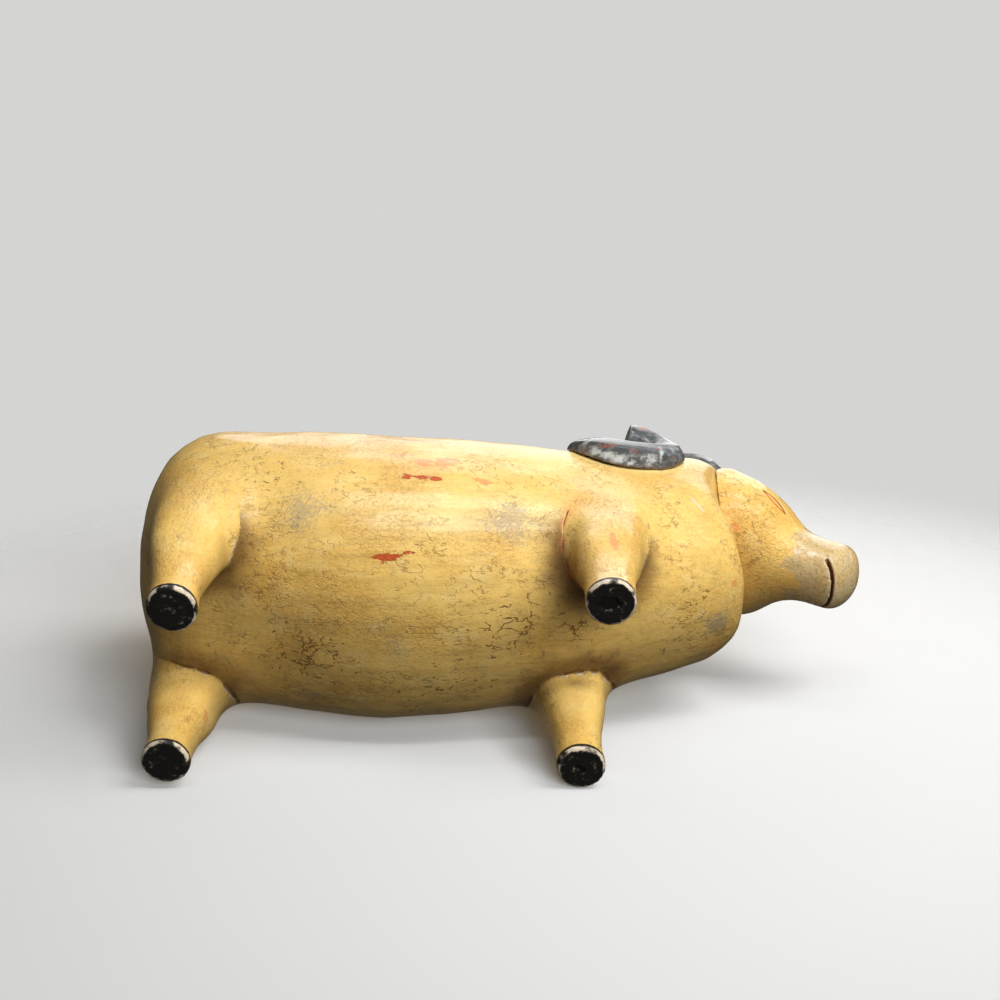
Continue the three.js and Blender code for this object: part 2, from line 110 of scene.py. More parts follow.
# Marks of wear and painted highlights by their place in the picture: column, row, half width, half
# height, depth
RED_CHIPS = (
    (390, 557, 23, 6, 1.0),
    (409, 553, 12, 3, 0.95),
    (422, 477, 11, 4.5, 1.0),
    (406, 477, 8, 4, 0.9),
    (436, 479, 9, 3.5, 0.9),
    (372, 575, 4, 3, 0.75),
)
ROSE_CHIPS = (
    (424, 462, 14, 6, 1.0),
    (447, 463, 18, 7, 1.0),
    (482, 481, 17, 5, 0.8),
    (403, 455, 16, 6, 0.7),
    (364, 451, 9, 4, 0.8),
    (614, 541, 5, 12, 0.95),
    (736, 527, 7, 9, 0.9),
    (750, 539, 5, 4, 0.7),
    (736, 584, 8, 6, 0.85),
    (741, 575, 3, 6, 0.7),
    (206, 718, 8, 6, 0.75),
    (180, 745, 5, 5, 0.6),
)
GREY_SCUFFS = (
    (302, 511, 34, 42, 1.0),
    (510, 521, 46, 32, 1.0),
    (391, 642, 20, 22, 0.8),
    (388, 616, 12, 8, 0.6),
    (716, 623, 24, 20, 1.0),
    (314, 694, 40, 14, 0.8),
    (330, 660, 44, 18, 0.45),
)
LONG_CRACKS = (
    (310, 657, 52, 30, 1.0),
    (515, 625, 55, 34, 0.9),
    (576, 628, 22, 20, 1.0),
    (270, 480, 45, 28, 0.55),
    (690, 600, 40, 40, 0.5),
    (440, 690, 90, 22, 0.6),
)
BARE_MUZZLE = (
    (784, 578, 13, 6, 1.2),
    (812, 590, 8, 4, 0.5),
)
# Painted highlights on the muzzle, where its glossy paint mirrors the lamps
MUZZLE_HIGHLIGHTS = (
    (798, 552, 7, 3, 1.0),
    (812, 554, 8, 4, 1.0),
    (824, 558, 4, 6, 0.8),
    (842, 549, 6, 3, 0.8),
    (851, 557, 3, 8, 0.9),
)
BROWN_STAINS = (
    (214, 583, 18, 14, 1.0),
    (240, 588, 28, 14, 0.6),
    (226, 672, 12, 16, 1.0),
    (210, 662, 10, 8, 0.6),
    (577, 682, 40, 7, 0.8),
    (545, 674, 10, 12, 0.6),
    (574, 572, 9, 20, 0.7),
    (590, 592, 12, 14, 0.6),
    (300, 660, 50, 24, 0.45),
    (520, 640, 60, 24, 0.45),
    (440, 590, 60, 14, 0.35),
    (720, 626, 20, 16, 0.5),
)
# Painted highlight: paler cream along the flank, where the long highlight lies
FLANK_HIGHLIGHT = (
    (350, 507, 34, 13, 0.8),
    (430, 515, 80, 21, 1.0),
    (520, 512, 46, 22, 1.0),
)
# Painted highlights on the horn, where its glossy paint mirrors the lamps
HORN_HIGHLIGHTS = (
    (595, 451, 8, 4, 1.0),
    (607, 455, 10, 5, 1.0),
    (619, 459, 10, 5, 1.0),
    (630, 463, 8, 4, 0.9),
    (651, 460, 10, 6, 0.8),
    (662, 454, 3, 9, 0.7),
    (586, 442, 8, 2, 0.7),
)
HORN_RUST = (
    (586, 449, 5, 4, 0.9),
    (608, 445, 18, 4, 1.0),
    (634, 451, 9, 5, 0.9),
    (643, 429, 9, 3, 1.1),
    (658, 449, 5, 5, 0.7),
)
WEAR_AND_HIGHLIGHTS = {
    "chip": RED_CHIPS,
    "rose": ROSE_CHIPS,
    "scuff": GREY_SCUFFS,
    "split": LONG_CRACKS,
    "bare": BARE_MUZZLE,
    "stain": BROWN_STAINS,
    "gloss": MUZZLE_HIGHLIGHTS,
    "rub": FLANK_HIGHLIGHT,
}
HORN_WEAR_AND_HIGHLIGHTS = {"gloss": HORN_HIGHLIGHTS, "rust": HORN_RUST}

# Marks on the unseen side are mirrored across the ram and turned upside down about half of a
# height. Each strays along the ram and up it by at most so much, and keeps a share of its depth.
FAR_TURN_HEIGHT = 0.165
FAR_STRAY = (0.04, 0.02)
FAR_DEPTH = (0.6, 1)

# A mark grows longer on a surface seen aslant, down to this share of facing. It ends this far out,
# in halves of its size.
LEAST_FACING = 0.4
MARK_END = 1.5

# Scale of the brush grain along, across and up each piece. Where it is coarse, cracks are drawn out.
BODY_GRAIN, LEG_GRAIN, HEAD_GRAIN = (25, 420, 420), (420, 420, 45), (120, 420, 160)
COARSE_GRAIN, DRAWN_OUT = 200, 0.55

# The crack of each leg, in the order of LEGS: dirt and pale flakes behind and ahead of the leg,
# how wide the dirt spreads, and how far the crack lies up the leg in mm
SEAM_DIRT = ((0.6, 0.6), (1.2, 1.2), (0.2, 0.35), (0.4, 1.25))
SEAM_FLAKES = ((0.2, 1.1), (1.1, 1.0), (0.2, 0.7), (0.3, 1.0))
SEAM_SPREAD = (1.0, 1.5, 1.0, 2.0)
SEAM_SHIFT = (1.3, 0, 1.3, 0)

# Zones of the body, from where each begins to where it is full: above the soles, out from the
# middle plane, up the flank, back to the rump, up the haunch, and down to the wax and the cracks
ABOVE_SOLES = (3 * MM, 9 * MM)
OUTER_FLANK = (20 * MM, 34 * MM)
UP_FLANK = (32 * MM, 56 * MM)
BACK_RUMP = (-108 * MM, -122 * MM)
UP_HAUNCH = (28 * MM, 44 * MM)
WAX_HEIGHT = (62 * MM, 42 * MM)
CRACK_HEIGHT = (66 * MM, 46 * MM)
SEAM_HEIGHT = (72 * MM, 52 * MM)

# Rounds of evening out: the whole skin, the blend of the leg pads, and the skin once more
EVEN_ROUNDS, BLEND_ROUNDS, LAST_ROUNDS = 12, 820, 7

# The blend that the whole of a pad gets, and the weight under which a point stays where it is
LEAST_BLEND = 0.004
LEAST_WEIGHT = 0.001

# Length of the waves left by the knife: long and short ones on the body, and those on the head
BODY_WAVES = (42 * MM, 17 * MM)
HEAD_WAVES = 21 * MM

# How far a leg's glue line, another joint and a horn's seat are looked for, how far the old wax
# spreads in a joint and round the tail, and how far the faces that close a cut piece sink in
SEAM_REACH, JOINT_REACH, SEAT_REACH = 30 * MM, 12 * MM, 6 * MM
JOINT_WAX, TAIL_WAX = 1.2 * MM, 1.8 * MM
CUT_SINK = 1 * MM

# The thickness counted as a sole's face, the most that a dowel stands back from a sole, and where
# its end comes down to in the skin
SOLE_FACE = 0.4 * MM
DOWEL_RECESS, DOWEL_END = 2 * MM, 0.9 * MM

# Hollows in two soles: offset along and across, half length, half width, bite of a crescent, in mm
SOLE_HOLLOWS = {"front_right": (-0.2, 0.4, 3.0, 2.2, 0), "front_left": (-1.2, 0.6, 1.9, 1.9, 0.8)}

# Shares of a hollow's size where its edge begins and is full, and the same for the crescent's bite
HOLLOW_EDGE, BITE_EDGE = (1.12, 0.85), (0.75, 1.0)

# The cut of the mouth: its middle from the rump and the floor, its thickness, its slope, and how
# far it runs from its middle
MOUTH_MIDDLE = (0.2678, 0.0678)
MOUTH_THICK = 0.0011
MOUTH_SLOPE = math.radians(68)
MOUTH_DEPTH = 0.0095

# The head's axis: where it starts, from the rump and the floor, and how it hangs
HEAD_START = (0.217, 0.124)
HEAD_PITCH = math.radians(38)

# Places in the picture: the corners of the eye, the ends of a scratch on the neck, and the
# middles of the two long highlights
EYE_CORNERS = ((766, 492), (784, 511))
SCRATCH = ((689, 495), (706, 514))
STREAKS = ((425, 503), (435, 529))

# Part of a horn's length where its tip is evened out, and where its facets run out
HORN_TIP = (0.84, 0.94)
FACETS_END = (1.0, 0.93)

# Points on the middle line of a horn: along its curl and along each of the two limbs above
CURL_POINTS, LIMB_POINTS = 90, 16

# Soft lamps: place from the ram's middle, width, height, and whether glossy paint mirrors them
LAMPS = {
    "key": ((0.52, -0.84, -0.12), 0.55, 0.45, False),
    "top": ((0.15, -0.30, 1.00), 1.0, 0.8, True),
    "fill": ((-0.35, 0.55, 0.85), 1.0, 0.8, False),
    "front": ((0.34, -0.50, -0.78), 0.5, 0.5, False),
}
RAM_MIDDLE = Vector((0, 0, 0.08))
STREAK_DISTANCE, STREAK_LENGTH, STREAK_WIDTH = 0.9, 0.64, 0.05

# Floors: half size, and the distances from the ram between which each fades out
STANDING_HALF, STANDING_FADE = 1.5, (0.35, 0.85)
LYING_HALF, LYING_FADE = 0.8, (0.15, 0.45)

# The lying floor's strips: from one to the next, half of a strip as a share of that, and how
# aslant a strip may be seen, from where it is gone to where it is full
LYING_PITCH = 1 * MM
STRIP_SHARE = 0.35
STRIP_SLANT = (0.28, 0.18)


def degrees(name, words, value):
    """An angle that a user can set."""
    return FloatProperty(name=name, description=words, default=math.radians(value), subtype="ANGLE")


def length(name, words, value):
    """A length in millimetres that a user can set."""
    return FloatProperty(
        name=name, description=words, default=value * MM, unit="LENGTH", precision=5
    )


def share(name, words, value):
    """A plain number that a user can set."""
    return FloatProperty(name=name, description=words, default=value)


def colour(name, words, *value):
    """A colour that a user can set."""
    return FloatVectorProperty(
        name=name, description=words, default=value, subtype="COLOR", min=0, max=1
    )


class RamPaint(bpy.types.PropertyGroup):
    """Colours of the paint layers, the wood and the stage."""

    ochre: colour("Ochre", "Main paint coat", 0.84, 0.555, 0.155)
    honey: colour("Honey", "Richer patches of the main coat", 0.76, 0.445, 0.10)
    # Also the colour of the painted highlight along the flank
    cream_and_highlight: colour("Cream", "Rubbed, paler patches of the main coat", 0.89, 0.68, 0.28)
    # Also the colour of speckles, dust and the painted shade on downward faces
    brown_dirt_and_shade: colour("Brown", "Old wax in the hollows", 0.14, 0.065, 0.016)
    crack: colour("Crack", "Dirt in the cracks of the paint", 0.20, 0.085, 0.016)
    red: colour("Red", "Undercoat in a deep chip", 0.50, 0.085, 0.018)
    rose: colour("Rose", "Undercoat under a thin glaze", 0.72, 0.27, 0.095)
    scuff: colour("Scuff", "Grey rub marks", 0.30, 0.26, 0.19)
    muzzle: colour("Muzzle", "Silvery paint of the muzzle", 0.63, 0.485, 0.255)
    bronze: colour("Bronze", "Worn patches of the muzzle", 0.40, 0.28, 0.105)
    lip: colour("Lip", "Wood in the cut of the mouth", 0.15, 0.05, 0.02)
    horn: colour("Horn", "Dark paint of the horns", 0.075, 0.080, 0.083)
    # Also the colour of the painted reflection and the painted highlights on the horns
    horn_bloom_and_highlight: colour("Horn bloom", "Pale bloom on the horns", 0.62, 0.65, 0.63)
    horn_end: colour("Horn end", "Bare end of a horn", 0.27, 0.29, 0.24)
    rust: colour("Rust", "Red undercoat worn through on the horns", 0.34, 0.10, 0.055)
    sole: colour("Sole", "Black paint of the soles", 0.010, 0.009, 0.007)
    # Also the colour of the painted highlights on the muzzle
    rim: colour("Rim", "Pale ground at the chipped rims of the soles", 0.72, 0.60, 0.45)
    wood: colour("Wood", "Bare wood of dowels and pegs", 0.46, 0.29, 0.14)
    floor: colour("Floor", "Floor and backdrop", 0.66, 0.66, 0.65)
    table: colour("Table", "Surface that the ram lies on", 0.97, 0.97, 0.96)


class RamCarving(bpy.types.PropertyGroup):
    """Sizes of the carved surface and of the wear on it."""

    body_voxel: length("Body grain", "Spacing of the points on the body and legs", 1.05)
    head_voxel: length("Head grain", "Spacing of the points on the head and horns", 0.45)
    fillet: length("Fillet", "Reach of the blend of a leg pad into the flank", 26)
    seam_depth: length("Seam depth", "Depth of the crack round a leg", 0.45)
    seam_width: length("Seam width", "Half width of the dirt in a seam", 0.6)
    knife: length("Knife marks", "Height of the waves left by the knife", 0.28)
    crevice: length("Crevice", "Reach of the old wax in a hollow", 8)
    crackle: length("Crackle", "Cell size of the fine crackle", 1.7)
    craze: length("Craze", "Cell size of the middle crackle", 3.6)
    split: length("Split", "Cell size of the coarse crackle", 5.5)
    sole_recess: length("Sole recess", "Depth of the hollow over a dowel", 1.3)
    rim_height: length("Rim height", "Height of the chipped rim of a sole", 1.5)
    line_height: length("Line height", "Top of the black line above the rim", 2.7)
    eye_length: length("Eye length", "Half length of the carved eye", 6.4)
    eye_width: length("Eye width", "Half width of the carved eye", 1.6)
    eye_depth: length("Eye depth", "Depth of the cut round the eye", 0.7)
    ridge: length("Horn ridge", "Height of the knife edges along a horn", 0.6)
    seed: IntProperty(name="Seed", description="Start of the random draws", default=7)


class RamHorn(bpy.types.PropertyGroup):
    """Middle line of a horn, as on the solids; lengths along the ram count from its rump."""

    x: length("Curl x", "Middle of the curl from the rump", 190.2)
    y: length("Curl y", "Middle of the curl from the ram's middle plane", 35.8)
    z: length("Curl z", "Middle of the curl above the floor", 108.3)
    lean: degrees("Lean", "Lean of the curl against the neck", 34)
    yaw: degrees("Yaw", "Turn of the curl with the taper of the neck", 13)
    height: length("Curl height", "Height of the curl's middle line", 29)
    stretch: length("Curl length", "Length of the curl's middle line", 39)
    tighten: share("Tightening", "How much the curl closes up to its tip", 0.4)
    turn: degrees("Turn", "How far the curl turns", 374)
    lift: length("Tip lift", "How far the tip stands off the neck", 11.8)
    lift_from: share("Lift from", "Part of the curl where it starts to stand off", 0.42)
    lift_to: share("Lift to", "Part of the curl where it stands off in full", 0.96)
    crest: FloatVectorProperty(
        name="Crest", description="Top of the limb", default=(0.223, 0.020, 0.138), unit="LENGTH"
    )
    root: FloatVectorProperty(
        name="Root", description="Start of the limb", default=(0.238, 0.009, 0.122), unit="LENGTH"
    )
    facets: IntProperty(name="Facets", description="Knife facets round a horn", default=6)
    twist: degrees("Twist", "How far the facets wind along the horn", 70)


class RamStage(bpy.types.PropertyGroup):
    """Camera, lamps and the surfaces that the ram stands and lies on."""

    aim_x: length("Aim x", "Point looked at, from the ram's rump", 139)
    aim_z: length("Aim z", "Point looked at, above the soles", 81)
    distance: length("Distance", "Camera from that point", 507.9)
    tilt: degrees("Tilt", "How far the camera stands to the ram's right of straight below", 27)
    lift: degrees("Lift", "How far the camera looks past that point", 3.434)
    lens: share("Lens", "Focal length for a picture 36 mm wide", 46.8)
    roll: degrees("Roll", "How far the ram lies rolled on its left side", 9)
    key: share("Key", "Power of the soft lamp on the ram's right", 8.9)
    front: share("Front", "Power of the soft lamp under the belly", 3.9)
    streak: share("Streak", "Power of each long lamp that the flank mirrors", 1.7)
    top: share("Top", "Power of the soft lamp above", 4.6)
    fill: share("Fill", "Power of the soft lamp above the left flank", 11)
    ambient: share("Ambient", "Strength of the even light", 0.07)


class Shade:
    """A socket of a material's nodes; sums on it add Math nodes."""

    def __init__(self, board, socket):
        self.board = board
        self.socket = socket

    def math(self, operation, *values):
        sockets = dict(enumerate(values))
        return self.board.add("ShaderNodeMath", {"operation": operation}, sockets)

    def __add__(self, other):
        return self.math("ADD", self, other)

    def __radd__(self, other):
        return self.math("ADD", other, self)

    def __sub__(self, other):
        return self.math("SUBTRACT", self, other)

    def __rsub__(self, other):
        return self.math("SUBTRACT", other, self)

    def __mul__(self, other):
        return self.math("MULTIPLY", self, other)

    def __rmul__(self, other):
        return self.math("MULTIPLY", other, self)

    def __abs__(self):
        return self.math("ABSOLUTE", self)

    def root(self):
        return self.math("SQRT", self)

    def about(self, reach):
        """Swing of a noise about its middle."""
        return (self - 0.5) * reach

    def most(self, other):
        return self.math("MAXIMUM", self, other)

    def step(self, low, high):
        """Smooth rise from 0 at low to 1 at high."""
        sockets = {"Value": self, "From Min": low, "From Max": high}
        return self.board.add("ShaderNodeMapRange", {"interpolation_type": "SMOOTHSTEP"}, sockets)


class Board:
    """Node board of a material or world."""

    def __init__(self, holder):
        holder.use_nodes = True
        self.tree = holder.node_tree
        self.tree.nodes.clear()

    def add(self, kind, settings=None, sockets=None, output=0):
        """A node of a kind with its settings, then its socket values and links."""
        node = self.tree.nodes.new(kind)
        for name, value in (settings or {}).items():
            setattr(node, name, value)
        for name, value in (sockets or {}).items():
            if isinstance(value, Shade):
                self.tree.links.new(value.socket, node.inputs[name])
            else:
                node.inputs[name].default_value = value
        if not node.outputs:
            return node
        return Shade(self, node.outputs[output])

    def place(self):
        """Place on the piece, in metres of the ram's frame."""
        return self.add("ShaderNodeTexCoord", output="Object")

    def parts(self, vector):
        """The three numbers of a vector."""
        node = self.add("ShaderNodeSeparateXYZ", sockets={0: vector}).socket.node
        return [Shade(self, socket) for socket in node.outputs]

    def vector(self, operation, *values, output=0):
        """Vector Math on places, ways or colours."""
        sockets = dict(enumerate(values))
        return self.add("ShaderNodeVectorMath", {"operation": operation}, sockets, output)

    def scaled(self, vector, factors):
        return self.vector("MULTIPLY", vector, factors)

    def noise(self, vector, scale, detail=2.0, roughness=0.5, output=0):
        sockets = {"Vector": vector, "Scale": scale, "Detail": detail, "Roughness": roughness}
        return self.add("ShaderNodeTexNoise", None, sockets, output)

    def warped(self, vector, scale, reach):
        """The place pushed about by noise, so that edges wander."""
        push = self.vector("SUBTRACT", self.noise(vector, scale, output="Color"), (0.5,) * 3)
        return self.vector("ADD", vector, self.scaled(push, (reach,) * 3))

    def edges(self, vector, cell):
        """Distance to the nearest crack of a crackle, as a share of a cell."""
        settings = {"feature": "DISTANCE_TO_EDGE"}
        return self.add("ShaderNodeTexVoronoi", settings, {"Vector": vector, "Scale": 1 / cell})

    def mark(self, name):
        """A value painted on the points of the piece."""
        return self.add("ShaderNodeAttribute", {"attribute_name": name}, output="Fac")

    def mix(self, factor, first, second):
        first, second = ((*c, 1.0) if not isinstance(c, Shade) else c for c in (first, second))
        sockets = {0: factor, 6: first, 7: second}
        return self.add("ShaderNodeMix", {"data_type": "RGBA"}, sockets, 2)

    def coats(self, paint, colour, *layers):
        """A colour under further coats, each given by how much it covers and its paint."""
        for cover, name in layers:
            colour = self.mix(cover, colour, tone(paint, name))
        return colour

    def surface(self, sockets, bump, depth):
        """Principled surface with a bump, joined to the output."""
        relief = {"Height": bump, "Distance": depth}
        sockets["Normal"] = self.add("ShaderNodeBump", None, relief)
        shader = self.add("ShaderNodeBsdfPrincipled", None, sockets)
        self.add("ShaderNodeOutputMaterial", None, {"Surface": shader})


def material(name):
    """New material and its empty node board."""
    made = bpy.data.materials.new(name)
    return made, Board(made)


def tone(group, name):
    """A colour of a property group as three numbers."""
    return tuple(getattr(group, name))


# Points and meshes


def read(items, field, width, kind=float):
    """A field of the points or edges of a mesh, one row for each."""
    flat = np.empty(len(items) * width, kind)
    items.foreach_get(field, flat)
    return flat.reshape(-1, width)


def points_of(mesh):
    return read(mesh.vertices, "co", 3)


def links_of(mesh):
    return read(mesh.edges, "vertices", 2, np.int32)


def normals_of(mesh):
    return read(mesh.vertex_normals, "vector", 3)


def mark_of(mesh, name):
    return read(mesh.attributes[name].data, "value", 1, np.float32)[:, 0]


def put_points(mesh, points):
    mesh.vertices.foreach_set("co", points.ravel())
    mesh.update()


def raised(mesh, points, heights):
    """Points of a mesh, lifted off its surface by heights."""
    points = points + normals_of(mesh) * heights[:, None]
    put_points(mesh, points)
    return points


def put_marks(mesh, **marks):
    """Values on the points of a mesh, by the name that its paint reads."""
    for name, values in marks.items():
        layer = mesh.attributes.get(name) or mesh.attributes.new(name, "FLOAT", "POINT")
        layer.data.foreach_set("value", np.asarray(values, np.float32))


def smoothstep(values, low, high):
    """Smooth rise from 0 at low to 1 at high."""
    t = np.clip((values - low) / (high - low), 0, 1)
    return t * t * (3 - 2 * t)


def bell(values, width):
    """1 where a value is 0, and falling off to both sides over a width."""
    return np.exp(-((values / width) ** 2))


def faired(values, links, weight, rounds):
    """Values at points, evened out with their neighbours where the weight is high."""
    count = len(values)
    first, second = links[:, 0], links[:, 1]
    neighbours = np.bincount(links.ravel(), minlength=count)
    values = values.reshape(count, -1).copy()
    for _ in range(rounds):
        for axis in range(values.shape[1]):
            line = values[:, axis]
            total = np.bincount(first, line[second], count) + np.bincount(second, line[first], count)
            values[:, axis] = line + 0.5 * weight * (total / neighbours - line)
    return values if values.shape[1] > 1 else values[:, 0]


def eased(piece, weight, rounds):
    """Points of a piece, evened out where the weight is high."""
    group = piece.vertex_groups.new(name="free")
    for index in np.flatnonzero(weight > LEAST_WEIGHT).tolist():
        group.add((index,), float(weight[index]), "REPLACE")
    ease = piece.modifiers.new("ease", "SMOOTH")
    ease.factor, ease.iterations, ease.vertex_group = 0.5, rounds, group.name
    graph = bpy.context.evaluated_depsgraph_get()
    mesh = bpy.data.meshes.new_from_object(piece.evaluated_get(graph))
    points = points_of(mesh)
    bpy.data.meshes.remove(mesh)
    piece.modifiers.clear()
    piece.vertex_groups.clear()
    put_points(piece.data, points)
    return points


def waves(points, seed, size, count=14):
    """Sum of waves in random directions, between about -1 and 1."""
    draw = np.random.default_rng(seed)
    total = np.zeros(len(points))
    for _ in range(count):
        way = draw.normal(size=3)
        way /= np.linalg.norm(way) * size * draw.uniform(0.6, 1.6)
        total += np.sin(2 * math.pi * (points @ way) + draw.uniform(0, 2 * math.pi))
    return total / math.sqrt(count)


def blank_of(*nodes):
    """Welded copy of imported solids."""
    blank = bmesh.new()
    for node in nodes:
        blank.from_mesh(frame["nodes"][node].data)
    bmesh.ops.remove_doubles(blank, verts=blank.verts, dist=1e-6)
    return blank


def tree_of(*nodes):
    """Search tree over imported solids."""
    blank = blank_of(*nodes)
    tree = BVHTree.FromBMesh(blank)
    blank.free()
    return tree


def distances(tree, points, reach):
    """Distance of each point to the nearest surface, up to a reach."""
    found = (tree.find_nearest(Vector(p), reach)[3] for p in points)
    return np.array([reach if d is None else d for d in found])


def placed(name, data):
    """New object in the scene."""
    made = bpy.data.objects.new(name, data)
    bpy.context.scene.collection.objects.link(made)
    return made


def remeshed(name, blank, voxel):
    """Object with an even skin of points over a blank; inner bubbles are dropped."""
    mesh = bpy.data.meshes.new(name)
    blank.to_mesh(mesh)
    blank.free()
    piece = placed(name, mesh)
    skin = piece.modifiers.new("skin", "REMESH")
    skin.mode = "VOXEL"
    skin.voxel_size = voxel
    graph = bpy.context.evaluated_depsgraph_get()
    piece.data = bpy.data.meshes.new_from_object(piece.evaluated_get(graph))
    piece.modifiers.clear()
    bpy.data.meshes.remove(mesh)
    keep_largest(piece.data)
    piece.data.name = name
    return piece


def keep_largest(mesh):
    """Leaves only the largest joined part of a mesh."""
    work = bmesh.new()
    work.from_mesh(mesh)
    work.verts.ensure_lookup_table()
    group = np.full(len(work.verts), -1)
    for seed in range(len(work.verts)):
        if group[seed] >= 0:
            continue
        group[seed] = seed
        heap = [work.verts[seed]]
        while heap:
            for edge in heap.pop().link_edges:
                for vert in edge.verts:
                    if group[vert.index] < 0:
                        group[vert.index] = seed
                        heap.append(vert)
    largest = np.bincount(group).argmax()
    loose = [v for v in work.verts if group[v.index] != largest]
    bmesh.ops.delete(work, geom=loose, context="VERTS")
    work.to_mesh(mesh)
    work.free()


def dressed(piece, paint, slot, *nodes):
    """Gives a finished piece its paint and its body, and hides the solids it stands for; the slot is
    not used.
    """
    piece.data.materials.clear()
    piece.data.materials.append(paint)
    piece.data.polygons.foreach_set("use_smooth", np.ones(len(piece.data.polygons), bool))
    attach(piece, BODY)
    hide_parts(*nodes)
    return piece


# The photograph's view


def rump_x():
    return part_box("torso")[0].x


def camera_turn(stage):
    """Turn of the camera: right, up and back as columns."""
    up = Vector((0, -math.cos(stage.tilt), math.sin(stage.tilt)))
    right = Vector((1, 0, 0))
    base = Matrix((right, up, right.cross(up))).transposed()
    return base @ Matrix.Rotation(stage.lift, 3, "X")


def camera_place(stage):
    aim = Vector((rump_x() + stage.aim_x, 0, stage.aim_z))
    back = Vector((0, -math.sin(stage.tilt), -math.cos(stage.tilt)))
    return aim + back * stage.distance


def focal(stage):
    """Focal length in pixels."""
    return stage.lens / FILM * PICTURE


def sight(stage, column, row):
    """Where the camera stands and the way to a pixel of the picture."""
    middle = PICTURE / 2
    way = Vector(((column - middle) / focal(stage), (middle - row) / focal(stage), -1))
    return camera_place(stage), (camera_turn(stage) @ way).normalized()


def seen(stage, tree, column, row):
    """Point and normal of the surface behind a pixel."""
    point, normal, _, _ = tree.ray_cast(*sight(stage, column, row))
    if point is None:
        raise RuntimeError(f"nothing lies behind pixel {column}, {row}")
    return np.array(point), np.array(normal)


def painted_pieces():
    return [bpy.data.objects[f"carved_{name}"] for name in ("torso", "head", "tail", *LEG_NODES)]


def tree_over(pieces):
    """Search tree over carved pieces."""
    work = bmesh.new()
    for piece in pieces:
        work.from_mesh(piece.data)
    tree = BVHTree.FromBMesh(work)
    work.free()
    return tree


def patch(point, normal, along):
    """Flat frame on the surface: a point, the way along it, the way up it and the way out."""
    across = along - normal * (along @ normal)
    across /= np.linalg.norm(across)
    return point, across, np.cross(normal, across), normal


def spots(stage, tree, marks):
    """Frame, size and depth of each mark on the surface behind its pixel."""
    pixel = stage.distance / focal(stage)
    turn = np.array(camera_turn(stage))
    for column, row, wide, high, depth in marks:
        point, normal = seen(stage, tree, column, row)
        high = high / max(abs(normal @ turn[:, 2]), LEAST_FACING)
        size = np.array((wide, high, max(wide, high))) * pixel
        yield patch(point, normal, turn[:, 0]), size, depth


def far_spots(tree, places, draw):
    """Like marks on the far side of the ram, where the picture doesn't reach."""
    for (point, _, _, _), size, depth in places:
        along, up = FAR_STRAY
        far = point * np.array((1, -1, 1)) + np.array((draw.uniform(-along, along), 0, 0))
        far[2] = FAR_TURN_HEIGHT - far[2] + draw.uniform(-up, up)
        spot, facing, _, _ = tree.find_nearest(Vector(far))
        there = patch(np.array(spot), np.array(facing), np.array((1.0, 0, 0)))
        yield there, size, depth * draw.uniform(*FAR_DEPTH)


def strength(points, places):
    """How strongly marks cover points: their depth at the middle, fading out past the rim."""
    strongest = np.zeros(len(points))
    for (point, across, up, out), size, depth in places:
        offset = (points - point) @ np.stack((across, up, out)).T / size
        reach = np.linalg.norm(offset, axis=1)
        strongest = np.maximum(strongest, depth * np.clip(MARK_END - reach, 0, MARK_END))
    return strongest


def put_wear_and_highlights(stage, seed):
    """Chips, scuffs, stains and painted highlights: where the picture shows them, and some out of its
    sight.
    """
    tree = tree_over(painted_pieces())
    draw = np.random.default_rng(seed)
    for name, marks in WEAR_AND_HIGHLIGHTS.items():
        places = list(spots(stage, tree, marks))
        places += list(far_spots(tree, places, draw))
        for piece in painted_pieces():
            put_marks(piece.data, **{name: strength(points_of(piece.data), places)})


def put_horn_wear_and_highlights(stage):
    """Painted highlights and worn paint on the horn that the picture shows, and the same on the other
    one.
    """
    horns = [bpy.data.objects[f"carved_{word}_horn"] for word, _ in SIDES]
    tree = tree_over(horns[:1])
    for name, marks in HORN_WEAR_AND_HIGHLIGHTS.items():
        places = list(spots(stage, tree, marks))
        for horn, (_, side) in zip(horns, SIDES):
            points = points_of(horn.data) * np.array((1, -side, 1))
            put_marks(horn.data, **{name: strength(points, places)})


# Body and legs: one skin over all, cut along the glue lines


def leg_of(points):
    """Index in LEGS of the leg that each point is nearest to."""
    middle = (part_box("front_right_leg")[0].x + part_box("rear_right_leg")[1].x) / 2
    return np.where(points[:, 0] > middle, 0, 2) + (points[:, 1] > 0)


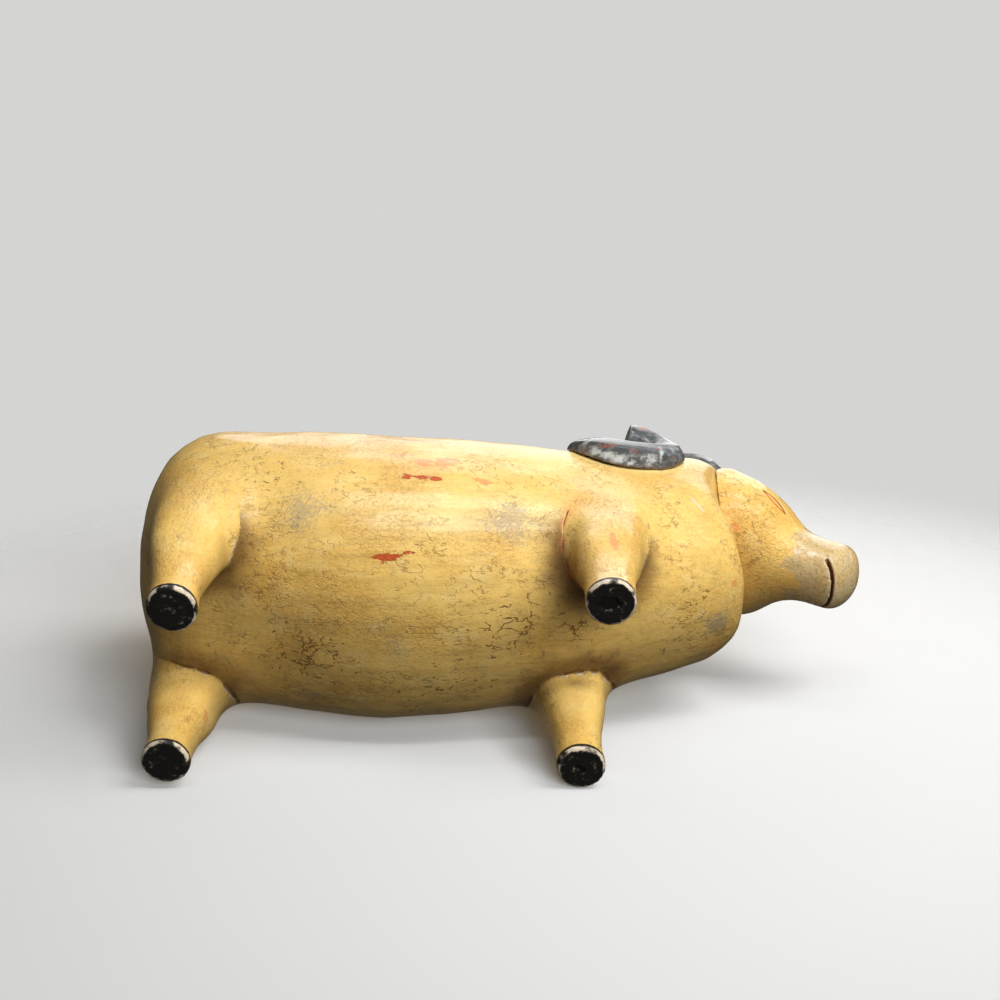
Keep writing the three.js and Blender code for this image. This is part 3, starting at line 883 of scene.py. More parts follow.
def body_skin(carving):
    """Body and legs as one skin, with the side of the glue line each point is on."""
    blank = blank_of("torso", *LEG_NODES, *LEG_DOWELS)
    for vert in blank.verts:
        if vert.co.z < DOWEL_RECESS:
            vert.co.z = min(vert.co.z, DOWEL_END)
    piece = remeshed("body_skin", blank, carving.body_voxel)
    mesh = piece.data
    points, links = points_of(mesh), links_of(mesh)
    to_torso = distances(tree_of("torso"), points, SEAM_REACH)
    to_leg = distances(tree_of(*LEG_NODES), points, SEAM_REACH)
    shift = np.array(SEAM_SHIFT)[leg_of(points)] * MM
    side = faired(to_torso - to_leg - shift, links, 1, 4)
    side = np.where(np.abs(side) < 1e-6, 1e-6, side)
    near = np.maximum(to_torso, to_leg)
    height = points[:, 2]
    off_sole = smoothstep(height, *ABOVE_SOLES)
    eased(piece, 0.85 * off_sole, EVEN_ROUNDS)
    upper = smoothstep(height, *UP_FLANK) * smoothstep(np.abs(points[:, 1]), *OUTER_FLANK)
    rump = smoothstep(points[:, 0], *BACK_RUMP)
    upper = np.maximum(upper, 0.6 * rump * smoothstep(height, *UP_HAUNCH))
    blend = smoothstep(near, carving.fillet, 2 * MM) * off_sole
    eased(piece, blend * (LEAST_BLEND + (1 - LEAST_BLEND) * upper), BLEND_ROUNDS)
    points = eased(piece, 0.6 * off_sole, LAST_ROUNDS)
    long, short = BODY_WAVES
    lumps = waves(points, carving.seed, long) + 0.5 * waves(points, carving.seed + 1, short)
    raised(mesh, points, carving.knife * lumps * off_sole)
    put_marks(mesh, side=side, near=near)
    return piece


def cut_at_seam(mesh, depth, seed):
    """Cuts the skin along the glue lines and opens a fine crack there."""
    work = bmesh.new()
    work.from_mesh(mesh)
    side = work.verts.layers.float["side"]
    near = work.verts.layers.float["near"]
    line = []
    for edge in [e for e in work.edges if e.verts[0][side] * e.verts[1][side] < 0]:
        start, end = edge.verts
        part = start[side] / (start[side] - end[side])
        reach = start[near] + part * (end[near] - start[near])
        _, vert = bmesh.utils.edge_split(edge, start, part)
        vert[side] = 0
        vert[near] = reach
        line.append(vert)
    bmesh.ops.connect_verts(work, verts=line)
    work.normal_update()
    places = np.array([v.co for v in line])
    ragged = 0.55 + 0.45 * waves(places, seed, 6 * MM)
    fade = smoothstep(places[:, 2], *CRACK_HEIGHT)
    for vert, dig in zip(line, np.clip(ragged, 0.05, 1.4) * fade * depth):
        vert.co -= vert.normal * dig
    work.to_mesh(mesh)
    work.free()


def parted(mesh, name, wanted):
    """Object of the faces that are wanted, closed by a fan inside each opening."""
    work = bmesh.new()
    work.from_mesh(mesh)
    drop = [f for f in work.faces if not wanted[f.index]]
    bmesh.ops.delete(work, geom=drop, context="FACES")
    open_edges = dict.fromkeys(e for e in work.edges if e.is_boundary)
    while open_edges:
        loop = [open_edges.popitem()[0]]
        for vert in (v for e in loop for v in e.verts):
            for edge in vert.link_edges:
                if edge in open_edges:
                    del open_edges[edge]
                    loop.append(edge)
        rim = dict.fromkeys(v for e in loop for v in e.verts)
        middle = sum((v.co for v in rim), Vector()) / len(rim)
        inward = sum((v.normal for v in rim), Vector())
        hub = work.verts.new(middle - inward.normalized() * CUT_SINK)
        for edge in loop:
            edge.smooth = False
            first, second = edge.link_loops[0].vert, edge.link_loops[0].link_loop_next.vert
            work.faces.new((second, first, hub))
    bmesh.ops.recalc_face_normals(work, faces=work.faces)
    made = bpy.data.meshes.new(name)
    work.to_mesh(made)
    work.free()
    return placed(name, made)


def hollow_sole(mesh, hollow, carving):
    """Sinks a ragged hollow into a sole, where the end of the dowel shows."""
    work = bmesh.new()
    work.from_mesh(mesh)
    mark = work.verts.layers.float.new("hollow")
    flat = [f for f in work.faces if all(v.co.z < SOLE_FACE for v in f.verts)]
    edges = list(dict.fromkeys(e for f in flat for e in f.edges))
    bmesh.ops.subdivide_edges(work, edges=edges, cuts=2, use_grid_fill=True)
    sole = [v for v in work.verts if v.co.z < SOLE_FACE]
    places = np.array([v.co for v in sole])
    middle = (places.min(axis=0) + places.max(axis=0)) / 2
    x, y, long, wide, bite = (value * MM for value in hollow)
    offset = places - middle - np.array((x, y, 0))
    ragged = 1 + 0.22 * waves(places, carving.seed, 3 * MM)
    reach = np.hypot(offset[:, 0] / long, offset[:, 1] / wide) / ragged
    dug = smoothstep(reach, *HOLLOW_EDGE)
    if bite:
        inner = np.hypot((offset[:, 0] + bite) / long, (offset[:, 1] - bite) / wide)
        dug *= smoothstep(inner, *BITE_EDGE)
    for vert, depth in zip(sole, dug):
        vert.co.z += float(depth) * carving.sole_recess
        vert[mark] = depth
    work.to_mesh(mesh)
    work.free()


def mark_body(mesh, side, near, carving):
    """Marks old wax, painted shade on downward faces, crack colour in the seams, flakes and bare
    ground on the body and legs.
    """
    points = points_of(mesh)
    height = points[:, 2]
    leg = leg_of(points)
    gap = distances(tree_of("head", "tail"), points, JOINT_REACH)
    stain = np.exp(-0.6 * (near / carving.crevice) ** 1.5)
    stain = np.where(side < 0, stain, np.exp(-near / (0.2 * carving.crevice)))
    stain = stain * smoothstep(height, *WAX_HEIGHT)
    ragged = np.clip(0.7 + 0.6 * waves(points, carving.seed + 3, 7 * MM), 0, 1.3)
    ragged = ragged * (near < 6 * MM) * smoothstep(height, *SEAM_HEIGHT)
    boxes = [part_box(node) for node in LEG_NODES]
    middles = np.array([(back.x + front.x) / 2 for back, front in boxes])
    ahead = (points[:, 0] > middles[leg]).astype(int)
    seam = bell(side, carving.seam_width * np.array(SEAM_SPREAD)[leg])
    flake = bell(side - 1.2 * MM, 1.1 * MM)
    blush = bell(side, 2.4 * MM) * ((leg == 0) & (ahead == 0))
    horn_gap = distances(tree_of("right_horn", "left_horn"), points, JOINT_REACH)
    put_marks(
        mesh,
        crevice=np.maximum(stain, 0.5 * np.exp(-gap / JOINT_WAX)),
        # Painted shade: faces turned downward are marked to be painted darker
        grime=smoothstep(normals_of(mesh)[:, 2], 0.1, -0.75),
        seam=seam * np.array(SEAM_DIRT)[leg, ahead] * ragged,
        flake=flake * np.array(SEAM_FLAKES)[leg, ahead] * ragged,
        blush=blush * ragged,
        ground=bell(horn_gap, 2 * MM),
    )


class RAM_OT_body(bpy.types.Operator):
    """Carves the body and the four legs, with a crack along each glue line"""

    bl_idname = "ram.body"
    bl_label = "Body and legs"

    def execute(self, context):
        scene = context.scene
        carving = scene.ram_carving
        skin = body_skin(carving)
        mesh = skin.data
        cut_at_seam(mesh, carving.seam_depth, carving.seed)
        side = mark_of(mesh, "side")
        mark_body(mesh, side, mark_of(mesh, "near"), carving)
        faces = np.array([np.mean(side[list(f.vertices)]) for f in mesh.polygons])
        leg = leg_of(np.array([f.center for f in mesh.polygons]))
        torso = parted(mesh, "carved_torso", faces < 0)
        flank = ochre_paint(scene, "aged_ochre_torso", BODY_GRAIN, scratch_layer)
        dressed(torso, flank, "ochre_paint", "torso")
        hoof = ochre_paint(scene, "aged_ochre_leg", LEG_GRAIN, sole_layers)
        for index, name in enumerate(LEGS):
            piece = parted(mesh, f"carved_{name}_leg", (faces >= 0) & (leg == index))
            if name in SOLE_HOLLOWS:
                hollow_sole(piece.data, SOLE_HOLLOWS[name], carving)
            dressed(piece, hoof, "ochre_paint", f"{name}_leg")
        bpy.data.objects.remove(skin)
        bpy.data.meshes.remove(mesh)
        return {"FINISHED"}


def head_places(points):
    """Distance of points along the head's axis and above it, in metres."""
    axis = np.array((math.cos(HEAD_PITCH), 0, -math.sin(HEAD_PITCH)))
    rise = np.array((math.sin(HEAD_PITCH), 0, math.cos(HEAD_PITCH)))
    offset = points - np.array((rump_x() + HEAD_START[0], 0, HEAD_START[1]))
    return offset @ axis, offset @ rise


def mouth_marks(points):
    """How far points lie in the cut of the mouth, on the edges of its lips, and clear of it."""
    half = MOUTH_THICK / 2
    across = np.array((math.sin(MOUTH_SLOPE), 0, math.cos(MOUTH_SLOPE)))
    inward = np.array((math.cos(MOUTH_SLOPE), 0, -math.sin(MOUTH_SLOPE)))
    offset = points - np.array((rump_x() + MOUTH_MIDDLE[0], 0, MOUTH_MIDDLE[1]))
    cut = np.abs(offset @ across)
    beside = np.abs(offset @ inward) < MOUTH_DEPTH
    cut = np.where(beside, cut, cut + MOUTH_THICK)
    mouth = smoothstep(cut, half + 0.15 * MM, half - 0.1 * MM)
    lips = bell(cut - half - 0.6 * MM, 0.4 * MM) * beside
    return mouth, lips, smoothstep(cut, half + 0.3 * MM, half + 2 * MM)


def eye_shapes(points, mesh, carving):
    """Shares along and across the almond of each eye, and how far its lids bow there."""
    faces = [tuple(f.vertices) for f in mesh.polygons]
    tree = BVHTree.FromPolygons([tuple(p) for p in points], faces)
    stage = bpy.context.scene.ram_stage
    first, last = (seen(stage, tree, *corner)[0] for corner in EYE_CORNERS)
    shapes = []
    for flip in (np.array((1, 1, 1)), np.array((1, -1, 1))):
        middle = (first + last) / 2 * flip
        spot, normal, _, _ = tree.find_nearest(Vector(middle))
        point, along, up, out = patch(np.array(spot), np.array(normal), (last - first) * flip)
        if up[2] < 0:
            up = -up
        offset = points - point
        u = offset @ along / carving.eye_length
        v = offset @ up / carving.eye_width
        bow = np.clip(1 - u**2, 0, None)
        near = np.abs(offset @ out) < 4 * MM
        shapes.append((np.where(near & (np.abs(u) < 1.2), u, 9), v, bow))
    return shapes


def eye_marks(points, mesh, carving):
    """How far points lie in the cuts above and below the eyes, and on the lids between them."""
    upper, lower, lid = np.zeros((3, len(points)))
    for u, v, bow in eye_shapes(points, mesh, carving):
        rim = np.abs(np.abs(v) - bow) * carving.eye_width
        groove = bell(rim, 0.6 * MM) * (np.abs(u) < 1.05)
        upper = np.maximum(upper, groove * (v >= 0))
        lower = np.maximum(lower, groove * (v < 0))
        lid = np.maximum(lid, (np.abs(v) < bow) * (np.abs(u) < 1))
    return upper, lower, lid


class RAM_OT_head(bpy.types.Operator):
    """Carves the head with its eyes and the cut of its mouth"""

    bl_idname = "ram.head"
    bl_label = "Head"

    def execute(self, context):
        scene = context.scene
        carving = scene.ram_carving
        head = remeshed("carved_head", blank_of("head", "neck_dowel"), carving.head_voxel)
        mesh = head.data
        points, links = points_of(mesh), links_of(mesh)
        gap = distances(tree_of("torso"), points, JOINT_REACH)
        mouth, lips, clear = mouth_marks(points)
        free = clear * smoothstep(gap, 1 * MM, 5 * MM)
        points = faired(points, links, 0.95 * free, 40)
        put_points(mesh, points)
        points = raised(mesh, points, carving.knife * waves(points, carving.seed, HEAD_WAVES) * free)
        upper, lower, lid = eye_marks(points, mesh, carving)
        points = raised(mesh, points, -carving.eye_depth * np.maximum(upper, 0.8 * lower))
        along, rise = head_places(points)
        put_marks(mesh, along=along, rise=rise, mouth=mouth, lips=lips)
        put_marks(mesh, eye_top=upper, eye_low=lower, eye_lid=lid)
        put_marks(mesh, crevice=0.6 * np.exp(-gap / JOINT_WAX))
        paint = ochre_paint(scene, "aged_ochre_head", HEAD_GRAIN, face_layers)
        dressed(head, paint, "ochre_paint", "head")
        return {"FINISHED"}


def horn_line(horn, side):
    """Points along the middle of a horn, from the crown to the tip, and the way out of its curl."""
    lean, yaw = horn.lean, horn.yaw
    ahead = np.array((1.0, 0, 0))
    up = np.array((0, -side * math.sin(lean), math.cos(lean)))
    flat = np.array((0, side * math.cos(lean), math.sin(lean)))
    forward = ahead * math.cos(yaw) - flat * math.sin(yaw)
    out = flat * math.cos(yaw) + ahead * math.sin(yaw)
    part = np.linspace(0, 1, CURL_POINTS)[:, None]
    angle = math.pi / 2 + horn.turn * part
    close = 1 - horn.tighten * part
    curl = np.array((horn.x, side * horn.y, horn.z))
    curl = curl + forward * (horn.stretch / 2 * close * np.cos(angle))
    curl = curl + up * (horn.height / 2 * close * np.sin(angle))
    curl = curl + out * (horn.lift * smoothstep(part, horn.lift_from, horn.lift_to))
    root, crest = np.array((horn.root, horn.crest)) * np.array((1, side, 1))
    limbs = ((root, crest), (crest, curl[0]))
    lead = np.vstack([np.linspace(start, end, LIMB_POINTS)[:-1] for start, end in limbs])
    return np.vstack((lead, curl)) + np.array((rump_x(), 0, 0)), out


def round_line(points, line, out):
    """Part of a line that each point is nearest to, its turn round the line, and the line's steps."""
    step = np.gradient(line, axis=0)
    step /= np.linalg.norm(step, axis=1)[:, None]
    nearest = np.array([((line - p) ** 2).sum(axis=1).argmin() for p in points])
    way = step[nearest]
    across = np.cross(way, out)
    across /= np.linalg.norm(across, axis=1)[:, None]
    rise = np.cross(across, way)
    offset = points - line[nearest]
    turn = np.arctan2((offset * rise).sum(axis=1), (offset * across).sum(axis=1))
    return nearest / (len(line) - 1), turn, step


def carve_horn(mesh, side, carving, horn):
    """Cuts long knife facets along a horn, and marks its edges, its downward faces for a painted
    reflection, its tip and old wax.
    """
    points, links = points_of(mesh), links_of(mesh)
    gap = distances(tree_of("torso", "head"), points, SEAT_REACH)
    points = faired(points, links, 0.9, 14)
    line, out = horn_line(horn, side)
    part, turn, step = round_line(points, line, out)
    turn = turn + horn.twist * part
    face = 2 * math.pi / horn.facets
    swing = np.abs((turn % face) / face - 0.5) * 2
    points = faired(points, links, 0.95 * smoothstep(part, *HORN_TIP), 16)
    put_points(mesh, points)
    free = smoothstep(gap, 0.4 * MM, 2.5 * MM) * smoothstep(part, *FACETS_END)
    points = raised(mesh, points, carving.ridge * (swing**2 - 0.55) * free)
    put_points(mesh, faired(points, links, 0.5, 2))
    normals = normals_of(mesh)
    edge = bell(1 - swing, 0.16) * free
    band = smoothstep(normals @ out, 0.35, 0.75)
    put_marks(
        mesh,
        ridge=edge * 0.5 + band * 0.25,
        # Painted reflection: faces turned downward are marked to be painted paler
        shine=smoothstep(normals[:, 2], 0.1, -0.6),
        tip=smoothstep(normals @ step[-1], 0.45, 0.75) * (part > 0.95),
        crevice=np.exp(-gap / JOINT_WAX),
    )


class RAM_OT_horns(bpy.types.Operator):
    """Carves the two curled horns with long knife facets"""

    bl_idname = "ram.horns"
    bl_label = "Horns"

    def execute(self, context):
        scene = context.scene
        carving = scene.ram_carving
        paint = horn_paint(scene)
        for word, side in SIDES:
            node = f"{word}_horn"
            piece = remeshed(f"carved_{node}", blank_of(node, f"{node}_peg"), carving.head_voxel)
            carve_horn(piece.data, side, carving, scene.ram_horn)
            dressed(piece, paint, "horn_paint", node)
        return {"FINISHED"}


class RAM_OT_tail(bpy.types.Operator):
    """Carves the tail"""

    bl_idname = "ram.tail"
    bl_label = "Tail"

    def execute(self, context):
        scene = context.scene
        carving = scene.ram_carving
        tail = remeshed("carved_tail", blank_of("tail", "tail_peg"), carving.head_voxel)
        mesh = tail.data
        points, links = points_of(mesh), links_of(mesh)
        gap = distances(tree_of("torso"), points, JOINT_REACH)
        put_points(mesh, faired(points, links, 0.9 * smoothstep(gap, 0, 2 * MM), 12))
        put_marks(mesh, crevice=np.exp(-gap / TAIL_WAX))
        dressed(tail, ochre_paint(scene, "aged_ochre_tail", LEG_GRAIN), "ochre_paint", "tail")
        return {"FINISHED"}


class RAM_OT_wear_and_highlights(bpy.types.Operator):
    """Chips, scuffs and stains the painted pieces, and paints highlights on them"""

    bl_idname = "ram.wear"
    bl_label = "Wear"

    def execute(self, context):
        put_wear_and_highlights(context.scene.ram_stage, context.scene.ram_carving.seed)
        put_horn_wear_and_highlights(context.scene.ram_stage)
        return {"FINISHED"}


class RAM_OT_pins(bpy.types.Operator):
    """Gives the dowels and pegs their bare wood"""

    bl_idname = "ram.pins"
    bl_label = "Dowels and pegs"

    def execute(self, context):
        paint = bare_wood(context.scene)
        for name in PINS:
            pin = frame["nodes"][name]
            pin.data.materials.clear()
            pin.data.materials.append(paint)
        return {"FINISHED"}


# Paint


def crackle(board, place, grain, carving):
    """Cracks drawn out with the grain: hairlines, short cracks, wandering ones and wide splits."""
    noise = board.noise
    longer = board.scaled(place, [DRAWN_OUT if g < COARSE_GRAIN else 1.0 for g in grain])
    hair = board.edges(board.warped(longer, 420, 0.0022), carving.crackle).step(0.15, 0.02)
    hair = hair * (0.3 + noise(place, 480, 2).step(0.38, 0.62) * 0.7)
    hair = hair * (0.2 + noise(place, 42, 2).step(0.35, 0.70) * 0.8)
    zone = noise(place, 55, 3).step(0.42, 0.60)
    craze = board.edges(board.warped(longer, 300, 0.0045), carving.craze).step(0.055, 0.012)
    craze = craze * noise(place, 360, 2).step(0.49, 0.60) * zone
    wander = abs(noise(longer, 380, 3, 0.6) - 0.5).step(0.045, 0.012)
    wander = wander * noise(place, 300, 2).step(0.50, 0.60) * (0.25 + zone * 0.75)
    wide = board.edges(board.warped(longer, 320, 0.006), carving.split).step(0.05, 0.01)
    wide = wide * (board.mark("split") + noise(place, 380, 3).about(3.2)).step(0.75, 1.05)
    return hair, craze, wander, wide


def worn_places(board, place, blotch):
    """Slanting scuffs, shallow and deep chips with ragged ends, and flakes and crack colour at the
    seams.
    """
    mark, noise = board.mark, board.noise
    x, y, z = board.parts(place)
    slant = board.add("ShaderNodeCombineXYZ", None, {0: (x + z) * 420, 1: y * 800, 2: (x - z) * 1500})
    stipple = noise(slant, 1, 3, 0.7)
    scuff = mark("scuff")
    rubbed = (scuff + stipple.about(3.0) + (blotch - 0.5)).step(0.90, 1.35) * scuff.step(0.05, 0.5)
    edge = noise(board.scaled(place, (170, 480, 480)), 1, 5, 0.65)
    rose = (mark("rose") + edge.about(2.6)).step(0.82, 0.98)
    chip = (mark("chip") + edge.about(2.2)).step(0.88, 0.93)
    flake = (mark("flake") + stipple.about(1.6) + (blotch - 0.5)).step(0.50, 0.70)
    seam = (mark("seam") + blotch.about(0.9) + stipple.about(0.8)).step(0.38, 0.72)
    return rubbed, rose, chip, flake, seam


def ochre_paint(scene, name, grain, layers=None):
    """Aged ochre paint with brush grain, crackle, chips, scuffs and old wax, painted shade on
    downward faces and a painted highlight along the flank.
    """
    paint, carving = scene.ram_paint, scene.ram_carving
    made, board = material(name)
    mark, noise, place = board.mark, board.noise, board.place()
    brushed = board.scaled(place, grain)

    patches = noise(place, 38, 3)
    blotch = noise(place, 110, 4, 0.6)
    brush = noise(brushed, 1, 3, 0.6)
    # Paler brush patches, and the painted highlight along the flank
    rub = (mark("rub") * 0.8 + (brush - 0.5)).step(0.15, 0.95)
    crevice = mark("crevice").most(mark("stain") * 0.5)
    wax = (crevice + blotch.about(0.7)).step(0.12, 0.95)

    hair, craze, wander, wide = crackle(board, place, grain, carving)
    pits = noise(place, 900, 2, 0.7).step(0.71, 0.76)
    cracks = (hair * 0.36).most(craze * 0.6).most(wander * 0.5).most(wide * 0.95).most(pits * 0.8)

    # Fine dark speckles, dust round the splits, and painted shade on faces turned downward, such as
    # under the belly
    speckle = noise(place, 1200, 2, 0.6).step(0.48, 0.66)
    speckle = speckle * (0.35 + patches.step(0.40, 0.60) * 0.65)
    dust = noise(place, 330, 5, 0.75).step(0.48, 0.80) * (0.30 + mark("split") * 0.6)
    underside_shade = noise(brushed, 1.5, 4, 0.65).step(0.46, 0.74) * mark("grime")

    rubbed, rose, chip, flake, seam = worn_places(board, place, blotch)
    colour = board.coats(
        paint,
        tone(paint, "ochre"),
        (patches.step(0.40, 0.66) * 0.8, "honey"),
        (blotch.step(0.50, 0.75) * 0.5, "cream_and_highlight"),
        (brush.step(0.52, 0.75) * 0.35, "honey"),
        (brush.step(0.45, 0.28) * 0.35, "cream_and_highlight"),
        # Painted highlight along the flank, with paler brush patches
        (rub * 0.45, "cream_and_highlight"),
        (wax * 0.85, "brown_dirt_and_shade"),
        (speckle * 0.22, "brown_dirt_and_shade"),
        (dust * 0.48, "brown_dirt_and_shade"),
        # Painted shade on faces turned downward
        (underside_shade * 0.22, "brown_dirt_and_shade"),
        (cracks * 0.85, "crack"),
        (rubbed * 0.6, "scuff"),
        (rose * 0.75, "rose"),
        (chip, "red"),
        (mark("blush") * 0.55, "rose"),
        (flake * 0.75, "rim"),
        (seam * 0.85, "crack"),
        (mark("ground") * 0.8, "cream_and_highlight"),
    )
    rough = 0.30 + blotch * 0.12 + cracks * 0.2 + rubbed * 0.2 + chip * 0.15 + wax * 0.15
    relief = 0.5 + brush * 0.16 + blotch * 0.15 - hair * 0.16 - craze * 0.3 - speckle * 0.06
    relief = relief - wander * 0.25 - wide * 0.6 - chip * 0.5 - rose * 0.12 - seam * 0.6 + flake * 0.3
    if layers:
        colour, rough, relief = layers(scene, board, place, colour, rough, relief)
    sockets = {
        "Base Color": colour,
        "Roughness": rough,
        "Coat Weight": 0.45,
        "Coat Roughness": 0.2,
        "Specular IOR Level": 0.6,
    }
    board.surface(sockets, relief, 0.5 * MM)
    return made


def scratch_layer(scene, board, place, colour, rough, relief):
    """A long pale scratch on the side of the neck."""
    tree = tree_of("torso")
    start, end = (Vector(seen(scene.ram_stage, tree, *pixel)[0]) for pixel in SCRATCH)
    way, run = (end - start).normalized(), (end - start).length
    offset = board.vector("SUBTRACT", place, start)
    along = board.vector("DOT_PRODUCT", offset, way, output="Value")
    reach = board.vector("LENGTH", offset, output="Value")
    apart = (reach * reach - along * along).most(0).root()
    apart = apart + board.noise(place, 500, 2).about(0.5 * MM)
    line = apart.step(0.6 * MM, 0.3 * MM) * along.step(0, 3 * MM) * along.step(run, run - 3 * MM)
    return board.coats(scene.ram_paint, colour, (line * 0.9, "rim")), rough, relief - line * 0.4


def face_layers(scene, board, place, colour, rough, relief):
    """Worn silvery muzzle with painted highlights, the cut of the mouth and the lines of the eyes."""
    paint, mark, noise = scene.ram_paint, board.mark, board.noise
    cloud = noise(place, 150, 4, 0.6)
    fleck = noise(place, 700, 3, 0.65)
    grit = noise(place, 1300, 2, 0.6)
    worn = noise(place, 90, 4, 0.65)
    finger = noise(board.scaled(place, (60, 240, 240)), 1, 2)
    along = mark("along") + finger.about(12 * MM) + cloud.about(7 * MM) - mark("bare") * (6 * MM)
    muzzle = (along + mark("rise") * 0.12).step(50.5 * MM, 51.4 * MM)
    bare = (cloud + fleck.about(0.6)).step(0.46, 0.62)
    # Painted highlights: pale spots at the listed places on the muzzle and at random round them
    gloss = (mark("gloss") + cloud.about(1.2) + fleck.about(1.2)).step(0.75, 1.15)
    silver = board.coats(
        paint,
        tone(paint, "muzzle"),
        (bare * 0.45, "honey"),
        (grit.step(0.50, 0.66) * 0.35, "brown_dirt_and_shade"),
        (worn.step(0.50, 0.68) * 0.5, "bronze"),
        (fleck.step(0.56, 0.70) * 0.6, "brown_dirt_and_shade"),
        # Painted highlights on the muzzle, in the pale ground colour
        (gloss * 0.75, "rim"),
    )
    mouth = mark("mouth")
    colour = board.coats(
        paint,
        board.mix(muzzle * 0.95, colour, silver),
        (mark("lips") * 0.45, "rim"),
        (mark("eye_lid") * (0.2 + fleck * 0.6), "rose"),
        (mark("eye_low").step(0.3, 0.8) * 0.8, "red"),
        (mark("eye_top").step(0.2, 0.7), "lip"),
        (mouth, "lip"),
    )
    rough = rough - muzzle * 0.14 + mouth * 0.3
    return colour, rough, relief + (fleck - 0.5) * muzzle * 0.25


def sole_layers(scene, board, place, colour, rough, relief):
    """Black sole, its chipped pale rim and the thin black line above."""
    carving, noise = scene.ram_carving, board.noise
    ragged = noise(place, 420, 4, 0.65)
    height = board.parts(place)[2] + ragged.about(0.9 * MM)
    under = height.step(carving.line_height, carving.line_height - 0.25 * MM)
    rim = height.step(carving.rim_height, carving.rim_height - 0.2 * MM)
    rim = rim * height.step(0.05 * MM, 0.3 * MM) * noise(place, 130, 3).step(0.40, 0.52)
    rim = rim * board.mark("hollow").step(0.06, 0.0)
    speck = noise(place, 900, 3, 0.7).step(0.74, 0.78) * under
    coats = ((under, "sole"), (rim, "rim"), (speck * 0.2, "rim"))
    rough = rough + under * (noise(place, 300, 3) * 0.3 - 0.08)
    relief = relief + (ragged - 0.5) * under * 0.6
    return board.coats(scene.ram_paint, colour, *coats), rough, relief


def horn_paint(scene):
    """Dark paint with a pale bloom, a painted reflection on its downward faces, painted highlights,
    and red undercoat worn through on its knife edges.
    """
    paint = scene.ram_paint
    made, board = material("dark_horn_paint")
    mark, noise, place = board.mark, board.noise, board.place()
    cloud = noise(place, 140, 4, 0.6)
    fleck = noise(place, 760, 4, 0.65)
    streak = noise(board.scaled(place, (160, 420, 420)), 1, 4, 0.6)
    # Pale bloom in streaks, laid on more thickly on downward faces as a painted reflection
    bloom_and_reflection = (streak * 0.6 + cloud * 0.4).step(0.44, 0.76) * (0.2 + mark("shine") * 0.3)
    # Painted highlights: pale streaks at the listed spots and at random along the horns
    gloss = (mark("gloss") + streak.about(1.4) + fleck.about(1.8)).step(0.30, 1.25)
    edge = (mark("ridge") * 0.8 + cloud.about(1.8) + fleck.about(1.6)).step(0.50, 0.80)
    rust = (mark("rust") * 0.9 + fleck.about(3.6) + (cloud - 0.5)).step(0.75, 1.25)
    edge = edge.most(rust)
    colour = board.coats(
        paint,
        tone(paint, "horn"),
        # Pale bloom, with a painted reflection on downward faces
        (bloom_and_reflection, "horn_bloom_and_highlight"),
        # Painted highlights on the horns
        (gloss * 0.9, "horn_bloom_and_highlight"),
        (mark("tip") * (0.5 + cloud * 0.7), "horn_end"),
        (edge * 0.75, "rust"),
        (mark("crevice") * 0.6, "crack"),
    )
    rough = 0.14 + fleck * 0.2 + edge * 0.2
    sockets = {"Base Color": colour, "Roughness": rough, "Coat Weight": 0.5, "Coat Roughness": 0.12}
    board.surface(sockets, fleck * 0.35 + cloud * 0.3 - edge * 0.4, 0.3 * MM)
    return made


def bare_wood(scene):
    """Bare turned wood with a grain along the pins."""
    paint = scene.ram_paint
    made, board = material("bare_dowel_wood")
    place = board.place()
    grain = board.noise(board.scaled(place, (900, 900, 60)), 1, 4, 0.6)
    dark = tuple(0.55 * c for c in tone(paint, "wood"))
    colour = board.mix(grain.step(0.35, 0.7), tone(paint, "wood"), dark)
    board.surface({"Base Color": colour, "Roughness": 0.7 + grain * 0.2}, grain, 0.2 * MM)
    return made


# Stage


def stage_surface(name, place, corners, paint, fade, facing_only=False):
    """Pale squares seen from their front only, which fade out away from the ram."""
    mesh = bpy.data.meshes.new(name)
    faces = [range(start, start + 4) for start in range(0, len(corners), 4)]
    mesh.from_pydata(corners, [], faces)
    surface = placed(name, mesh)
    surface.location = place
    surface.visible_shadow = False
    surface.visible_diffuse = False
    surface.visible_glossy = False
    made, board = material(name)
    ground = board.place()
    far = board.vector("LENGTH", ground, output="Value")
    shown = far.step(fade[1], fade[0]) * (1 - board.add("ShaderNodeNewGeometry", output="Backfacing"))
    if facing_only:
        slant = board.add("ShaderNodeLayerWeight", None, {"Blend": 0.5}, "Facing")
        shown = shown * slant.step(*STRIP_SLANT)
    soft = board.noise(ground, 30, 3)
    pale = board.mix(soft * 0.06, paint, tuple(0.8 * c for c in paint))
    matt = board.add("ShaderNodeBsdfDiffuse", None, {"Color": pale})
    clear = board.add("ShaderNodeBsdfTransparent")
    shader = board.add("ShaderNodeMixShader", None, {0: shown, 1: clear, 2: matt})
    board.add("ShaderNodeOutputMaterial", None, {"Surface": shader})
    mesh.materials.append(made)
    surface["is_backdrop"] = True


def square(right, up):
    """Corners of a square from the ways to its right and upper sides."""
    return [-right - up, right - up, right + up, up - right]


